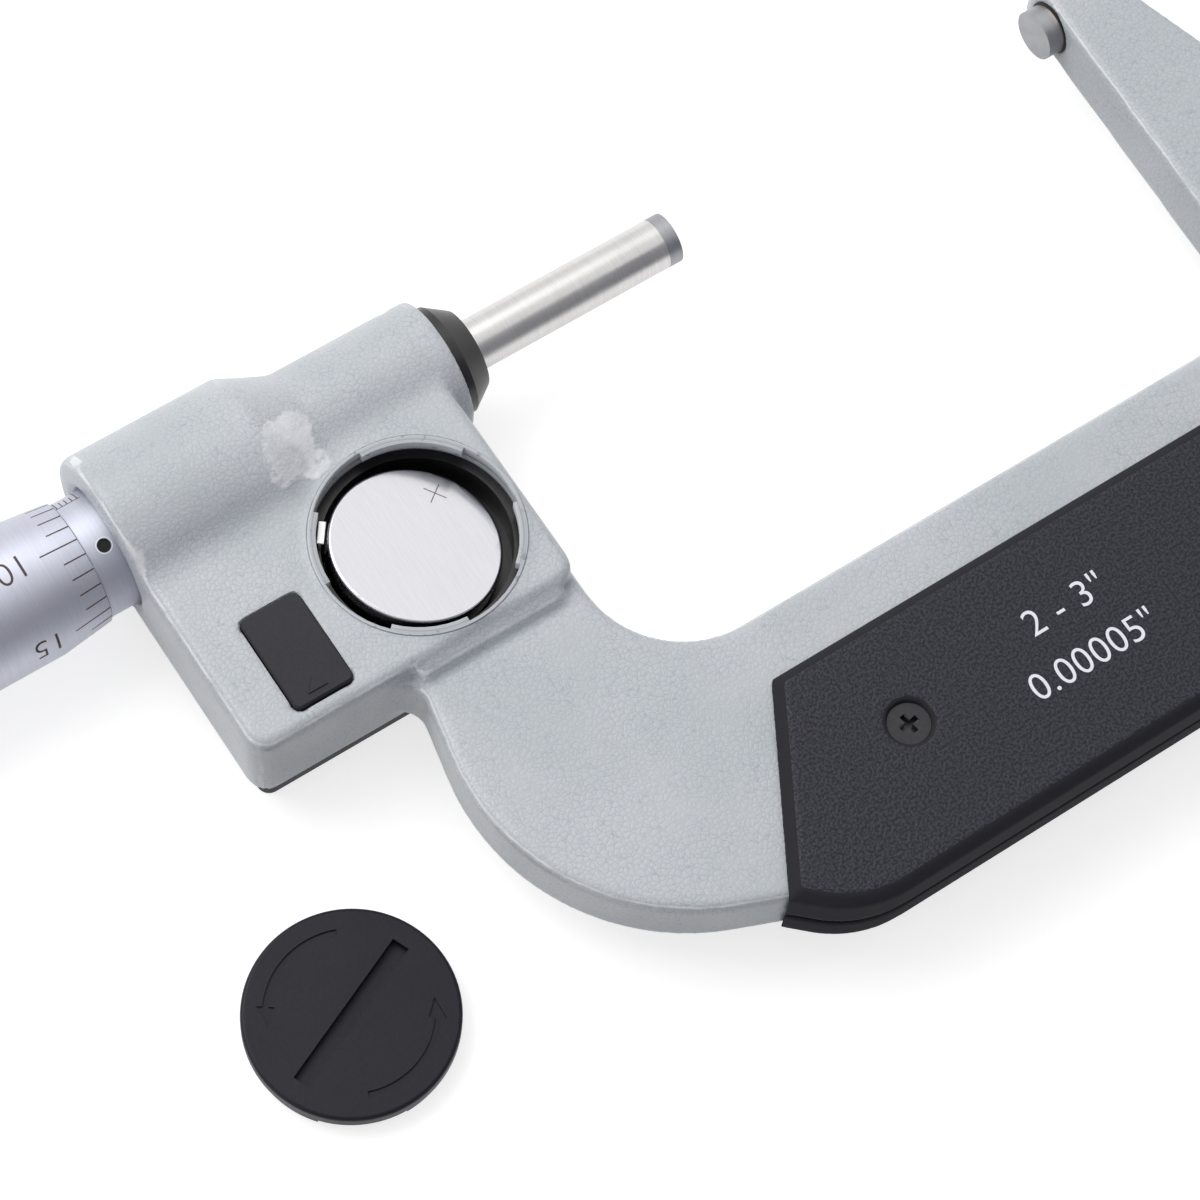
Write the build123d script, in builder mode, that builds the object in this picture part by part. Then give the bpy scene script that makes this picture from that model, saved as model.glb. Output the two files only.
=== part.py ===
from build123d import *
import os
from math import atan2, cos, degrees, pi, radians, sin, sqrt, tan

os.makedirs("parts", exist_ok=True)

# Millimetres. X runs along the spindle towards the anvil, Y away from the bow, Z out of the
# battery side. The origin is the middle of the anvil's measuring face. The micrometer lies
# on its display cover, so the floor is the face of that cover.

# Fits, all radial or one-sided
press_gap = 0.01
running_gap = 0.03
seat_gap = 0.1
free_gap = 0.3
soft_gap = 0.15

# Spindle and anvil
spindle_r = 6.35 / 2
carbide = 1.8
anvil_reach = 2.2
anvil_rod = 7.0
rest_gap = 54.15
range_low = 50.8
range_high = 76.2
thread_r = 3.5
feed_in = rest_gap - range_low
feed_out = range_high - rest_gap

# Bow, whose outline is the same on both sides of its middle up to the arm
bow_half = 4.3
bow_inside = 88.9
bow_depth = 47.1
bow_height = 80.5
bow_corner_y = -66.0
bow_corner_out = 28.3
bow_neck_out = 21.7
bow_foot_half = 36.9
bow_inner_r = 12.5
bow_corner_r = 28.0
bow_foot_r = 50.0
bow_edge_r = 1.1
arm_top = 6.2
arm_lean = 2.55
arm_outer_top = 9.4
arm_top_r = 3.2
arm_knee_x = 15.6
arm_knee_y = -14.0
arm_knee_r = 60.0
neck_r = 3.0
step_r = 1.5

# Head of the frame: a barrel on the spindle's axis, joined to a flat-backed box
head_length = 42.1
head_back = 6.8
head_front = 6.0
head_below = 33.0
barrel_r = 11.0
barrel_small_r = 8.3
barrel_nose = 2.4
shoulder_start = 20.0
shoulder_length = 6.0
crease_r = 5.0
head_corner_r = 2.6
head_edge_r = 1.2
boss_wall = 1.4
end_wall = 4.5

# Battery bay and cell
bay_x = -102.0
bay_y = -19.85
bay_ring_r = 12.35
bay_ring_high = 0.25
bay_lip_r = 11.4
bay_lip = 1.2
bay_bore_r = 12.0
bay_floor = -1.6
notch_angles = (-72, 10, 113, 201)
notch_sweep = 44
notch_r = 12.0
holder_wall = 1.1
holder_fit = 0.11
holder_high = 4.2
holder_floor = 0.9
tab_angle = 143.0
tab_wide = 2.8
tab_thick = 0.3
tab_top = 5.2
leaf_wide = 3.0
cell_r = 10.0
cell_thick = 3.2
cell_tilt = 11.0
cell_rise = 4.55

# Data port
port_x = -120.9
port_y = -24.75
port_wide = 7.5
port_tall = 12.4
port_wall = 2.5
port_proud = 0.45
port_corner_r = 0.8
port_pocket_wide = 9.2
port_pocket_tall = 14.0
port_plug_high = 2.9
connector_high = 3.4

# Sleeve, thimble and ratchet
sleeve_r = 7.2
sleeve_wall = 0.95
sleeve_length = 28.4
sleeve_recess = 1.5
spanner_r = 0.8
spanner_x = 1.2
spanner_angle = 111.0
stem_length = 34.5
nut_length = 11.0
nut_r = 5.2
thimble_start = 3.4
thimble_wall = 1.1
thimble_lip = 0.32
thimble_cone = 6.4
thimble_length = 38.6
thimble_end = 3.5
journal_r = 2.9
knob_r = 6.2
knob_length = 15.5
teeth = 24
tooth_depth = 0.6
tooth_ring_r = 3.9
axle_r = 2.4
axle_screw_r = 1.5
ratchet_head_r = 3.6
ratchet_head = 2.0
ratchet_head_sunk = 0.9
shelf_length = 4.0
tooth_long = 2.2
pawl_thick = 1.6

# Encoder
encoder_bore_r = 7.7
encoder_length = 8.0
rotor_r = 7.0
stator_flat = 6.5
stator_tail = 2.5
disc_thick = 1.2
rotor_stator_gap = 0.4
flange_r = 6.0
hub_boss_r = 5.0
rotor_journal_r = 4.55
rotor_bush_r = 5.6
spindle_room_r = 3.8
key_r = 0.6
key_deep = 0.775

# Nose collar and spindle clamp
collar_r = 6.85
collar_band = 1.2
collar_cone = 2.7
collar_nose_r = 5.0
bush_r = 4.8
bush_length = 10.5
clamp_x = -91.4
clamp_y = -6.9
clamp_r = 1.5
clamp_deep = 9.0
clamp_hub_r = 2.3
clamp_reach = 9.0
clamp_angle = 100.0
clamp_arm_wide = 3.2
clamp_arm_low = -10.8
clamp_arm_thick = 2.0
clamp_flat = 0.2
clamp_pad_r = 1.2
wiper_r = 4.4

# Display cover and what it holds
cover_deep = 5.5
cover_plate = 1.4
cover_wall = 1.3
cover_inset = 1.6
cover_top = 9.0
cover_corner_r = 1.5
cover_gasket_thick = 0.3
boss_notch_y = -9.6
lever_notch_x = -95.6
lever_notch_y = -10.4
window_x = -110.5
window_y = -4.5
window_long = 24.0
window_tall = 13.0
window_lap = 1.0
window_flange = 0.5
board_thick = 0.8
lcd_thick = 1.2
lcd_rim = 1.0
pad_thick = 0.4
button_count = 3
button_pitch = 9.5
button_y = -24.0
button_long = 7.2
button_tall = 4.6
button_recess = 0.3
button_flange = 0.8
button_flange_thick = 0.5
screw_r = 0.9
screw_head_r = 1.6
screw_head_thick = 1.0
screw_deep = 4.0
post_r = 2.2

# Heat-insulating plates round the bow
plate_rise = 1.9
plate_top = -54.8
plate_bottom = 83.2
plate_top_half = 33.3
plate_low_half = 46.4
plate_low_y = -77.2
plate_foot_run = 6.4
plate_corner_r = 1.8
plate_foot_r = 14.0
back_bevel = 1.1
front_bevel = 2.3
plate_seam = 0.12
plate_screw_x = 23.5
plate_screw_y = -67.4
plate_screw_r = 1.5
plate_screw_head_r = 2.5
plate_screw_head = 1.2
plate_screw_sunk = 0.15
cross_wide = 2.4
cross_thick = 0.6
cross_deep = 0.7

# Battery cap, off its bay and lying on the floor with its slot up
cap_x = -135.2
cap_y = -59.15
cap_r = 12.2
cap_disc = 1.8
cap_skirt = 1.8
cap_slot_angle = 23.5
cap_slot_long = 19.2
cap_slot_wide = 2.1
cap_slot_deep = 1.1
cap_edge_r = 0.5
lug_thick = 0.8
seal_r = 0.35

# Places worked out from those sizes
bow_middle = -bow_inside / 2
head_right = -bow_inside
head_left = head_right - head_length
barrel_right = head_right + barrel_nose
shoulder_left = head_left + shoulder_start
shoulder_right = shoulder_left + shoulder_length
floor_z = -head_front - cover_deep
seal_z = -head_front - cover_gasket_thick
face_z = floor_z + cover_plate
lcd_low = face_z + window_flange
lcd_high = lcd_low + lcd_thick
board_high = lcd_high + board_thick
plate_back = bow_half + plate_rise
encoder_left = head_left + end_wall
encoder_right = encoder_left + encoder_length
stem_front = encoder_left + 0.2
stem_back = stem_front - stem_length - end_wall
stem_r = sleeve_r - sleeve_wall - press_gap
sleeve_seat_r = sleeve_r + free_gap
boss_r = sleeve_r + boss_wall
sleeve_front = head_left + sleeve_recess - soft_gap
sleeve_back = sleeve_front - sleeve_length - sleeve_recess
thimble_front = head_left - thimble_start
thimble_back = thimble_front - thimble_length
thimble_inner_r = sleeve_r + seat_gap
thimble_lip_r = sleeve_r + thimble_lip
thimble_r = sleeve_r + thimble_wall
wall_front = thimble_back + thimble_end
nut_back = stem_back + 1.5
nut_front = nut_back + nut_length
bush_right = head_right + free_gap
bush_left = bush_right - bush_length
collar_front = barrel_right + collar_band + collar_cone
tip_x = -rest_gap
thread_front = head_left
hub_left = head_left + 0.2
hub_right = encoder_left + 0.6
flange_right = hub_right + 2.4
rotor_left = flange_right
rotor_right = rotor_left + disc_thick
stator_left = rotor_right + rotor_stator_gap
stator_right = stator_left + disc_thick
key_x = (hub_right + flange_right) / 2
groove_r = spindle_r - key_deep
groove_left = key_x - key_r - feed_in - free_gap
groove_right = key_x + key_r + feed_out + free_gap
driver_back = thimble_back - 3.0
knob_front = thimble_back - 0.4
knob_back = knob_front - knob_length
axle_back = knob_front - 10.6
shelf_x = axle_back + shelf_length
cover_low_x = head_left + cover_inset
cover_high_x = head_right - free_gap
cover_low_y = cover_inset - head_below
boss_notch_x = encoder_left + free_gap
post_places = (
    (cover_low_x + post_r, cover_low_y + post_r),
    (cover_high_x - post_r, cover_low_y + post_r),
    (shoulder_left - 4.0, cover_top - post_r),
    (lever_notch_x - post_r - 1.7, cover_top - post_r),
)


def turned(points, mode=Mode.ADD):
    """A solid of revolution about the spindle's axis, from points of (x, radius)."""
    with BuildSketch(Plane.XY) as half:
        with BuildLine():
            Polyline(*points, close=True)
        make_face()
    revolve(half.sketch, axis=Axis.X, mode=mode)


def tube(x0, x1, outer, inner=0.0, mode=Mode.ADD):
    """A plain tube or rod on the spindle's axis."""
    turned([(x0, inner), (x0, outer), (x1, outer), (x1, inner)], mode)


def block(low, high, mode=Mode.ADD):
    """A box between two opposite corners."""
    size = [b - a for a, b in zip(low, high)]
    middle = tuple((a + b) / 2 for a, b in zip(low, high))
    with Locations(middle):
        Box(*size, mode=mode)


def pillar(x, y, low, high, radius, mode=Mode.ADD):
    """An upright cylinder from one height to another."""
    with Locations((x, y, low)):
        Cylinder(radius, high - low, align=(Align.CENTER, Align.CENTER, Align.MIN), mode=mode)


def ring(x, y, low, high, outer, inner):
    """An upright ring from one height to another."""
    with BuildSketch(Plane.XY.offset(low)) as flat:
        with Locations((x, y)):
            Circle(outer)
            Circle(inner, mode=Mode.SUBTRACT)
    extrude(flat.sketch, amount=high - low)


def slab(x, y, low, high, long, tall, corner_r, mode=Mode.ADD):
    """An upright plate with rounded corners about a middle."""
    with BuildSketch(Plane.XY.offset(low)) as flat:
        with Locations((x, y)):
            RectangleRounded(long, tall, corner_r)
    extrude(flat.sketch, amount=high - low, mode=mode)


def sectors(x, y, low, high, radius, angles, sweep, mode=Mode.ADD):
    """Pie slices about an upright axis, for bayonet lugs and the notches that let them in."""
    for angle in angles:
        with BuildSketch(Plane.XY.offset(low)) as slices:
            with BuildLine():
                rim = CenterArc((x, y), radius, angle - sweep / 2, sweep)
                Line((x, y), rim @ 0)
                Line(rim @ 1, (x, y))
            make_face()
        extrude(slices.sketch, amount=high - low, mode=mode)


def bow_outline(low):
    """The flat of the C-frame seen from the battery side, with the arm that carries the anvil."""
    side = bow_inside / 2 + bow_corner_out
    neck = head_right - bow_neck_out
    sunk = 5.0
    corners = [
        (head_right, sunk - head_below, 0),
        (head_right, -bow_depth, bow_inner_r),
        (0.0, -bow_depth, bow_inner_r),
        (arm_lean, arm_top, arm_top_r),
        (arm_outer_top, arm_top, arm_top_r),
        (arm_knee_x, arm_knee_y, arm_knee_r),
        (bow_middle + side, bow_corner_y, bow_corner_r),
        (bow_middle + bow_foot_half, -bow_height, bow_foot_r),
        (bow_middle - bow_foot_half, -bow_height, bow_foot_r),
        (bow_middle - side, bow_corner_y, bow_corner_r),
        (neck, -head_below, neck_r),
        (neck - sunk, -head_below, 0),
        (neck - sunk, sunk - head_below, 0),
    ]
    with BuildSketch(Plane.XY.offset(low)) as outline:
        with BuildLine():
            FilletPolyline(*[c[:2] for c in corners], radius=[c[2] for c in corners], close=True)
        make_face()
    return outline.sketch


def head_section(x, radius):
    """The head cut across the spindle: barrel, crease and flat-backed box, open to the front."""
    crease = (-sqrt(radius**2 - head_back**2), head_back)
    with BuildSketch(Plane.YZ.offset(x)) as section:
        Circle(radius)
        with Locations((-head_below / 2, (head_back - head_front) / 2)):
            Rectangle(head_below, head_back + head_front)
        with Locations((0, -head_front - radius)):
            Rectangle(4 * radius, 2 * radius, mode=Mode.SUBTRACT)
        fillet(section.vertices().sort_by_distance(crease)[0], crease_r)
    return section.sketch


def on_back_rim(edge):
    """True for an edge round the flat back of the head, at its left end or its lower side."""
    box = edge.bounding_box()
    low_end = box.max.X < head_left + head_corner_r + 0.01
    low_side = box.max.Y < -head_below + head_corner_r + 0.01
    return box.min.Z > head_back - 0.01 and (low_end or low_side)


with BuildPart() as head:
    extrude(head_section(head_left, barrel_r), amount=shoulder_start)
    loft([head_section(shoulder_left, barrel_r), head_section(shoulder_right, barrel_small_r)])
    extrude(head_section(shoulder_right, barrel_small_r), amount=head_right - shoulder_right)
    fillet(head.edges().filter_by(Axis.Z).group_by(Axis.Y)[0], head_corner_r)
    end_edges = head.faces().sort_by(Axis.X)[0].edges().filter_by(lambda e: e.center().Z > -head_front + 0.01)
    back_edges = head.edges().filter_by(on_back_rim)
    fillet(list({*end_edges, *back_edges}), head_edge_r)

with BuildPart() as frame:
    extrude(bow_outline(-bow_half), amount=2 * bow_half)
    fillet(frame.faces().filter_by(Axis.Z).edges(), bow_edge_r)
    add(head.part)
    # Soft step from the head's lower wall down to the web
    with BuildSketch(Plane.YZ.offset(head_right - bow_neck_out)) as step:
        with BuildLine():
            corner = (-head_below, bow_half)
            Polyline((-head_below - step_r, bow_half), corner, (-head_below, bow_half + step_r))
            RadiusArc((-head_below, bow_half + step_r), (-head_below - step_r, bow_half), -step_r)
        make_face()
    extrude(step.sketch, amount=bow_neck_out - head_corner_r)
    # Seat for the display cover, the boss round the sleeve and the nose of the barrel
    block((encoder_left, 0, -head_front), (head_right, cover_top + 0.2, -head_front + 2))
    tube(head_left, encoder_left, boss_r)
    tube(head_right - seat_gap, barrel_right, barrel_small_r)
    # Bores along the spindle
    tube(head_left - 1, head_left + sleeve_recess, sleeve_seat_r, mode=Mode.SUBTRACT)
    tube(head_left, encoder_left + 1, stem_r + press_gap, mode=Mode.SUBTRACT)
    tube(encoder_left, encoder_right, encoder_bore_r, mode=Mode.SUBTRACT)
    block((encoder_left, -encoder_bore_r, -boss_r), (encoder_right, encoder_bore_r, 0), mode=Mode.SUBTRACT)
    tube(encoder_left, barrel_right, spindle_room_r, mode=Mode.SUBTRACT)
    tube(bush_left, barrel_right, bush_r, mode=Mode.SUBTRACT)
    tube(bush_right, barrel_right + 1, rotor_bush_r, mode=Mode.SUBTRACT)
    # Battery bay with its raised machined ring and the bayonet notches in its lip
    ring(bay_x, bay_y, head_back - 1, head_back + bay_ring_high, bay_ring_r, bay_lip_r)
    pillar(bay_x, bay_y, 0, head_back + 1, bay_lip_r, Mode.SUBTRACT)
    pillar(bay_x, bay_y, -head_front - 1, head_back - bay_lip, bay_bore_r + holder_fit, Mode.SUBTRACT)
    sectors(bay_x, bay_y, 0, head_back + 1, notch_r, notch_angles, notch_sweep, Mode.SUBTRACT)
    # Data port, its pocket, and the hole for its plug
    block(
        (port_x - port_pocket_wide / 2, port_y - port_tall / 2 - 0.3, -head_front - 1),
        (port_x + port_pocket_wide / 2, port_y - port_tall / 2 + port_pocket_tall, head_back - port_wall),
        Mode.SUBTRACT,
    )
    port_hole = (port_wide + 2 * seat_gap, port_tall + 2 * seat_gap, port_corner_r)
    slab(port_x, port_y, 0, head_back + 1, *port_hole, mode=Mode.SUBTRACT)
    # Spindle clamp, its shaft upright and its plunger reaching up to the spindle
    pillar(clamp_x, clamp_y, -head_front - 1, -head_front + clamp_deep, clamp_r + running_gap, Mode.SUBTRACT)
    with Locations(Location((clamp_x, clamp_y / 2, 0), (90, 0, 0))):
        Cylinder(clamp_pad_r + press_gap, -clamp_y, mode=Mode.SUBTRACT)
    # Hole for the anvil, and threads for the plate screws and the cover screws
    tube(anvil_reach - 1, anvil_reach + anvil_rod, spindle_r + press_gap, mode=Mode.SUBTRACT)
    for side in (-1, 1):
        place = (bow_middle + side * plate_screw_x, plate_screw_y)
        pillar(*place, -bow_half - 1, bow_half + 1, plate_screw_r + press_gap, Mode.SUBTRACT)
    for place in post_places:
        pillar(*place, -head_front - 1, -head_front + screw_deep, screw_r + press_gap, Mode.SUBTRACT)

# Anvil
with BuildPart() as anvil:
    tube(carbide, anvil_reach + anvil_rod - 0.2, spindle_r)

with BuildPart() as anvil_tip:
    tube(0, carbide, spindle_r)

# Sleeve, its stem and the nuts
with BuildPart() as sleeve_stem:
    tube(stem_back, stem_front, stem_r, spindle_room_r)
    tube(head_left - seat_gap, stem_front + 1, rotor_bush_r, mode=Mode.SUBTRACT)
    tube(stem_back - 1, nut_front, nut_r, mode=Mode.SUBTRACT)

with BuildPart() as outer_sleeve:
    tube(sleeve_back, sleeve_front, sleeve_r, stem_r + press_gap)
    outward = (0, cos(radians(spanner_angle)), sin(radians(spanner_angle)))
    out = Plane(origin=(0, 0, 0), x_dir=(1, 0, 0), z_dir=outward)
    with BuildSketch(out) as spanner_hole:
        with Locations((head_left - spanner_x, 0)):
            Circle(spanner_r)
    extrude(spanner_hole.sketch, amount=sleeve_r + 1, mode=Mode.SUBTRACT)

with BuildPart() as spindle_nut:
    tube(nut_back, nut_front, nut_r - press_gap, thread_r + running_gap)

with BuildPart() as adjusting_nut:
    tube(stem_back + 0.1, sleeve_back - 0.5, sleeve_r - free_gap, stem_r + press_gap)

with BuildPart() as rotor_bush:
    tube(head_left, stem_front, rotor_bush_r - press_gap, rotor_journal_r + running_gap)

# Nose of the frame: bush, black collar and felt wiper, and the clamp's plunger
with BuildPart() as spindle_bush:
    tube(bush_left, bush_right - seat_gap, bush_r - press_gap, spindle_r + running_gap)
    with Locations(Location((clamp_x, clamp_y / 2, 0), (90, 0, 0))):
        Cylinder(clamp_pad_r + press_gap, -clamp_y, mode=Mode.SUBTRACT)

with BuildPart() as nose_collar:
    wiper_left = barrel_right + 0.9
    turned([
        (bush_right, spindle_r + free_gap),
        (bush_right, rotor_bush_r - press_gap),
        (barrel_right, rotor_bush_r - press_gap),
        (barrel_right, collar_r),
        (barrel_right + collar_band, collar_r),
        (collar_front, collar_nose_r),
        (collar_front, spindle_r + free_gap),
    ])
    tube(wiper_left, collar_front - 1, wiper_r + press_gap, mode=Mode.SUBTRACT)

with BuildPart() as nose_wiper:
    tube(wiper_left, collar_front - 1, wiper_r, spindle_r + running_gap)

with BuildPart() as lock_pad:
    foot = clamp_y + clamp_r + running_gap
    with BuildSketch(Plane.XZ.offset(spindle_r + running_gap)) as pad:
        with Locations((clamp_x, 0)):
            Circle(clamp_pad_r)
    extrude(pad.sketch, amount=-foot - spindle_r - running_gap)

with BuildPart() as clamp_lever:
    pillar(clamp_x, clamp_y, clamp_arm_low, -head_front - 0.1, clamp_hub_r)
    pillar(clamp_x, clamp_y, -head_front - 1, -head_front + clamp_deep - 0.3, clamp_r)
    with BuildSketch(Plane.XY.offset(clamp_arm_low)) as arm:
        with Locations((clamp_x, clamp_y)):
            with Locations(Location((0, 0, 0), (0, 0, clamp_angle))):
                with Locations((clamp_reach / 2, 0)):
                    SlotCenterToCenter(clamp_reach, clamp_arm_wide)
    extrude(arm.sketch, amount=clamp_arm_thick)
    block(
        (clamp_x - clamp_r, clamp_y + clamp_r - clamp_flat, -clamp_hub_r),
        (clamp_x + clamp_r, clamp_y + clamp_r + 1, clamp_hub_r),
        Mode.SUBTRACT,
    )

# Rotary encoder: hub keyed to the spindle, glass-epoxy rotor and stator discs
with BuildPart() as rotor_hub:
    turned([
        (hub_left, thread_r + free_gap),
        (hub_left, rotor_journal_r),
        (hub_right, rotor_journal_r),
        (hub_right, flange_r),
        (flange_right, flange_r),
        (flange_right, hub_boss_r),
        (rotor_right + seat_gap, hub_boss_r),
        (rotor_right + seat_gap, spindle_r + running_gap),
        (encoder_left + 0.1, spindle_r + running_gap),
        (encoder_left + 0.1, thread_r + free_gap),
    ])
    pillar(key_x, 0, -flange_r - 1, 0, key_r + press_gap, Mode.SUBTRACT)

with BuildPart() as rotor_key:
    pillar(key_x, 0, -flange_r + 0.2, -groove_r - running_gap, key_r)

with BuildPart() as encoder_rotor:
    tube(rotor_left, rotor_right, rotor_r, hub_boss_r + press_gap)

with BuildPart() as encoder_stator:
    tube(stator_left, stator_right, encoder_bore_r - 0.05)
    low = -encoder_bore_r - 1
    block((stator_left, -encoder_bore_r, low), (stator_right, encoder_bore_r, -stator_flat), Mode.SUBTRACT)
    block((stator_left, -stator_tail, board_high), (stator_right, stator_tail, -stator_flat + 1))
    tube(stator_left, stator_right, spindle_room_r, mode=Mode.SUBTRACT)

with BuildPart() as stator_spacer:
    tube(stator_right, encoder_right, flange_r, spindle_room_r)

# Spindle with its thread, key groove, carbide tip and thimble
with BuildPart() as spindle:
    tube(thread_front, tip_x - carbide, spindle_r)
    tube(wall_front + 1.9, thread_front, thread_r)
    tube(thimble_back, wall_front + 1.9, journal_r)
    half = key_r + running_gap
    block((groove_left, -half, -spindle_r - 1), (groove_right, half, -groove_r), Mode.SUBTRACT)
    tube(thimble_back - 1, thimble_back + 8, axle_screw_r + press_gap, mode=Mode.SUBTRACT)

with BuildPart() as spindle_tip:
    tube(tip_x - carbide, tip_x, spindle_r)

with BuildPart() as thimble:
    turned([
        (thimble_front, thimble_inner_r),
        (thimble_front, thimble_lip_r),
        (thimble_front - thimble_cone, thimble_r),
        (thimble_back + 0.5, thimble_r),
        (thimble_back, thimble_r - 0.5),
        (thimble_back, journal_r + press_gap),
        (wall_front, journal_r + press_gap),
        (wall_front, thimble_inner_r),
    ])

with BuildPart() as ratchet_driver:
    tube(driver_back, thimble_back, hub_boss_r, axle_screw_r + press_gap)
    tube(thimble_back - ratchet_head_sunk, thimble_back, hub_boss_r, ratchet_head_r, Mode.SUBTRACT)
    with Locations(Plane(origin=(driver_back, 0, 0), x_dir=(0, 1, 0), z_dir=(-1, 0, 0))):
        with PolarLocations(radius=tooth_ring_r, count=teeth):
            Box(tooth_long, tooth_depth, tooth_depth, rotation=(45, 0, 0), mode=Mode.SUBTRACT)

with BuildPart() as ratchet_screw:
    tube(driver_back, thimble_back + 7, axle_screw_r)
    tube(axle_back, driver_back, axle_r)
    tube(axle_back - ratchet_head, axle_back, ratchet_head_r)
    tube(axle_back - ratchet_head, axle_back - ratchet_head / 2, axle_r / 2, mode=Mode.SUBTRACT)

# Ratchet stop at the end of the thimble
with BuildPart() as ratchet_knob:
    turned([
        (knob_front, hub_boss_r + free_gap),
        (knob_front, knob_r - 0.5),
        (knob_front - 0.5, knob_r),
        (knob_back + 0.8, knob_r),
        (knob_back, knob_r - 0.8),
        (knob_back, ratchet_head_r + free_gap),
        (axle_back + seat_gap, ratchet_head_r + free_gap),
        (axle_back + seat_gap, axle_r + running_gap),
        (shelf_x, axle_r + running_gap),
        (shelf_x, hub_boss_r + free_gap),
    ])

with BuildPart() as ratchet_pawl:
    pawl_right = driver_back - free_gap - tooth_depth
    tube(pawl_right - pawl_thick, pawl_right, hub_boss_r + free_gap - press_gap, axle_r + seat_gap)
    with Locations(Plane(origin=(pawl_right, 0, 0), x_dir=(0, 1, 0), z_dir=(1, 0, 0))):
        with PolarLocations(radius=tooth_ring_r, count=teeth):
            Box(1.8, tooth_depth * 0.7, tooth_depth * 0.7, rotation=(45, 0, 0))

with BuildPart() as ratchet_spring:
    spring_left = shelf_x
    spring_right = pawl_right - pawl_thick
    tube(spring_left, spring_right, 4.4, 3.6)
    tube(spring_left + 0.35, spring_right - 0.35, 4.6, 3.4, mode=Mode.SUBTRACT)
    for angle in range(0, 360, 60):
        with Locations(Location((0, 0, 0), (angle, 0, 0))):
            with Locations(((spring_left + spring_right) / 2, 4.0, 0)):
                Box(spring_right - spring_left, 0.5, 1.2)


def cover_outline(low, inset):
    """The display cover seen flat, cut back round the sleeve's boss and the clamp lever."""
    corners = [
        (cover_low_x, cover_low_y),
        (cover_high_x, cover_low_y),
        (cover_high_x, lever_notch_y),
        (lever_notch_x, lever_notch_y),
        (lever_notch_x, cover_top),
        (boss_notch_x, cover_top),
        (boss_notch_x, boss_notch_y),
        (cover_low_x, boss_notch_y),
    ]
    with BuildSketch(Plane.XY.offset(low)) as outline:
        with BuildLine():
            FilletPolyline(*corners, radius=cover_corner_r, close=True)
        make_face()
        if inset:
            offset(amount=-inset, mode=Mode.REPLACE)
    return outline.sketch


# Display cover and what it holds
with BuildPart() as front_cover:
    extrude(cover_outline(floor_z, 0), amount=seal_z - floor_z)
    extrude(cover_outline(face_z, cover_wall), amount=seal_z - face_z, mode=Mode.SUBTRACT)
    for place in post_places:
        pillar(*place, floor_z, seal_z, post_r)
    slab(window_x, window_y, floor_z - 1, face_z, window_long, window_tall, 1.0, Mode.SUBTRACT)
    for place in post_places:
        pillar(*place, floor_z - 1, -head_front + 1, screw_r + seat_gap, Mode.SUBTRACT)
        pillar(*place, floor_z - 1, floor_z + screw_head_thick + 0.3, screw_head_r + seat_gap, Mode.SUBTRACT)
    for i in range(button_count):
        x = window_x + (i - 1) * button_pitch
        slab(x, button_y, floor_z - 1, face_z, button_long + 0.3, button_tall + 0.3, 1.0, Mode.SUBTRACT)

with BuildPart() as cover_gasket:
    extrude(cover_outline(seal_z, 0), amount=cover_gasket_thick)
    extrude(cover_outline(seal_z, cover_wall), amount=cover_gasket_thick, mode=Mode.SUBTRACT)
    for place in post_places:
        pillar(*place, seal_z, -head_front, post_r)
    for place in post_places:
        pillar(*place, seal_z - 1, 1 - head_front, screw_r + seat_gap, Mode.SUBTRACT)

with BuildPart() as cover_screws:
    for place in post_places:
        pillar(*place, floor_z + 0.3, floor_z + 0.3 + screw_head_thick, screw_head_r)
        pillar(*place, floor_z + 0.3, -head_front + screw_deep - 0.3, screw_r)

with BuildPart() as display_window:
    slab(window_x, window_y, floor_z + 0.2, face_z, window_long - 0.1, window_tall - 0.1, 1.0)
    slab(window_x, window_y, face_z, lcd_low, window_long + 2 * window_lap, window_tall + 2 * window_lap, 1.0)

with BuildPart() as lcd:
    lcd_size = (window_long + 2 * lcd_rim, window_tall + 2 * lcd_rim)
    slab(window_x, window_y, lcd_low, lcd_high, *lcd_size, 0.5)

with BuildPart() as main_board:
    board_low_x = boss_notch_x + cover_wall + 0.5
    board_high_x = lever_notch_x - cover_wall - 0.5
    block(
        (board_low_x, cover_low_y + cover_wall + 0.6, lcd_high),
        (board_high_x, cover_top - 2 * post_r - 0.4, board_high),
    )

buttons = []
for i in range(button_count):
    x = window_x + (i - 1) * button_pitch
    with BuildPart() as button:
        slab(x, button_y, floor_z + button_recess, face_z, button_long, button_tall, 1.0)
        flange = (button_long + 2 * button_flange, button_tall + 2 * button_flange)
        slab(x, button_y, face_z, face_z + button_flange_thick, *flange, 1.0)
    buttons.append(button.part)

with BuildPart() as button_pad:
    pad_long = (button_count - 1) * button_pitch + button_long
    slab(window_x, button_y, lcd_high - pad_thick, lcd_high, pad_long, button_tall + 1, 1.0)

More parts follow.
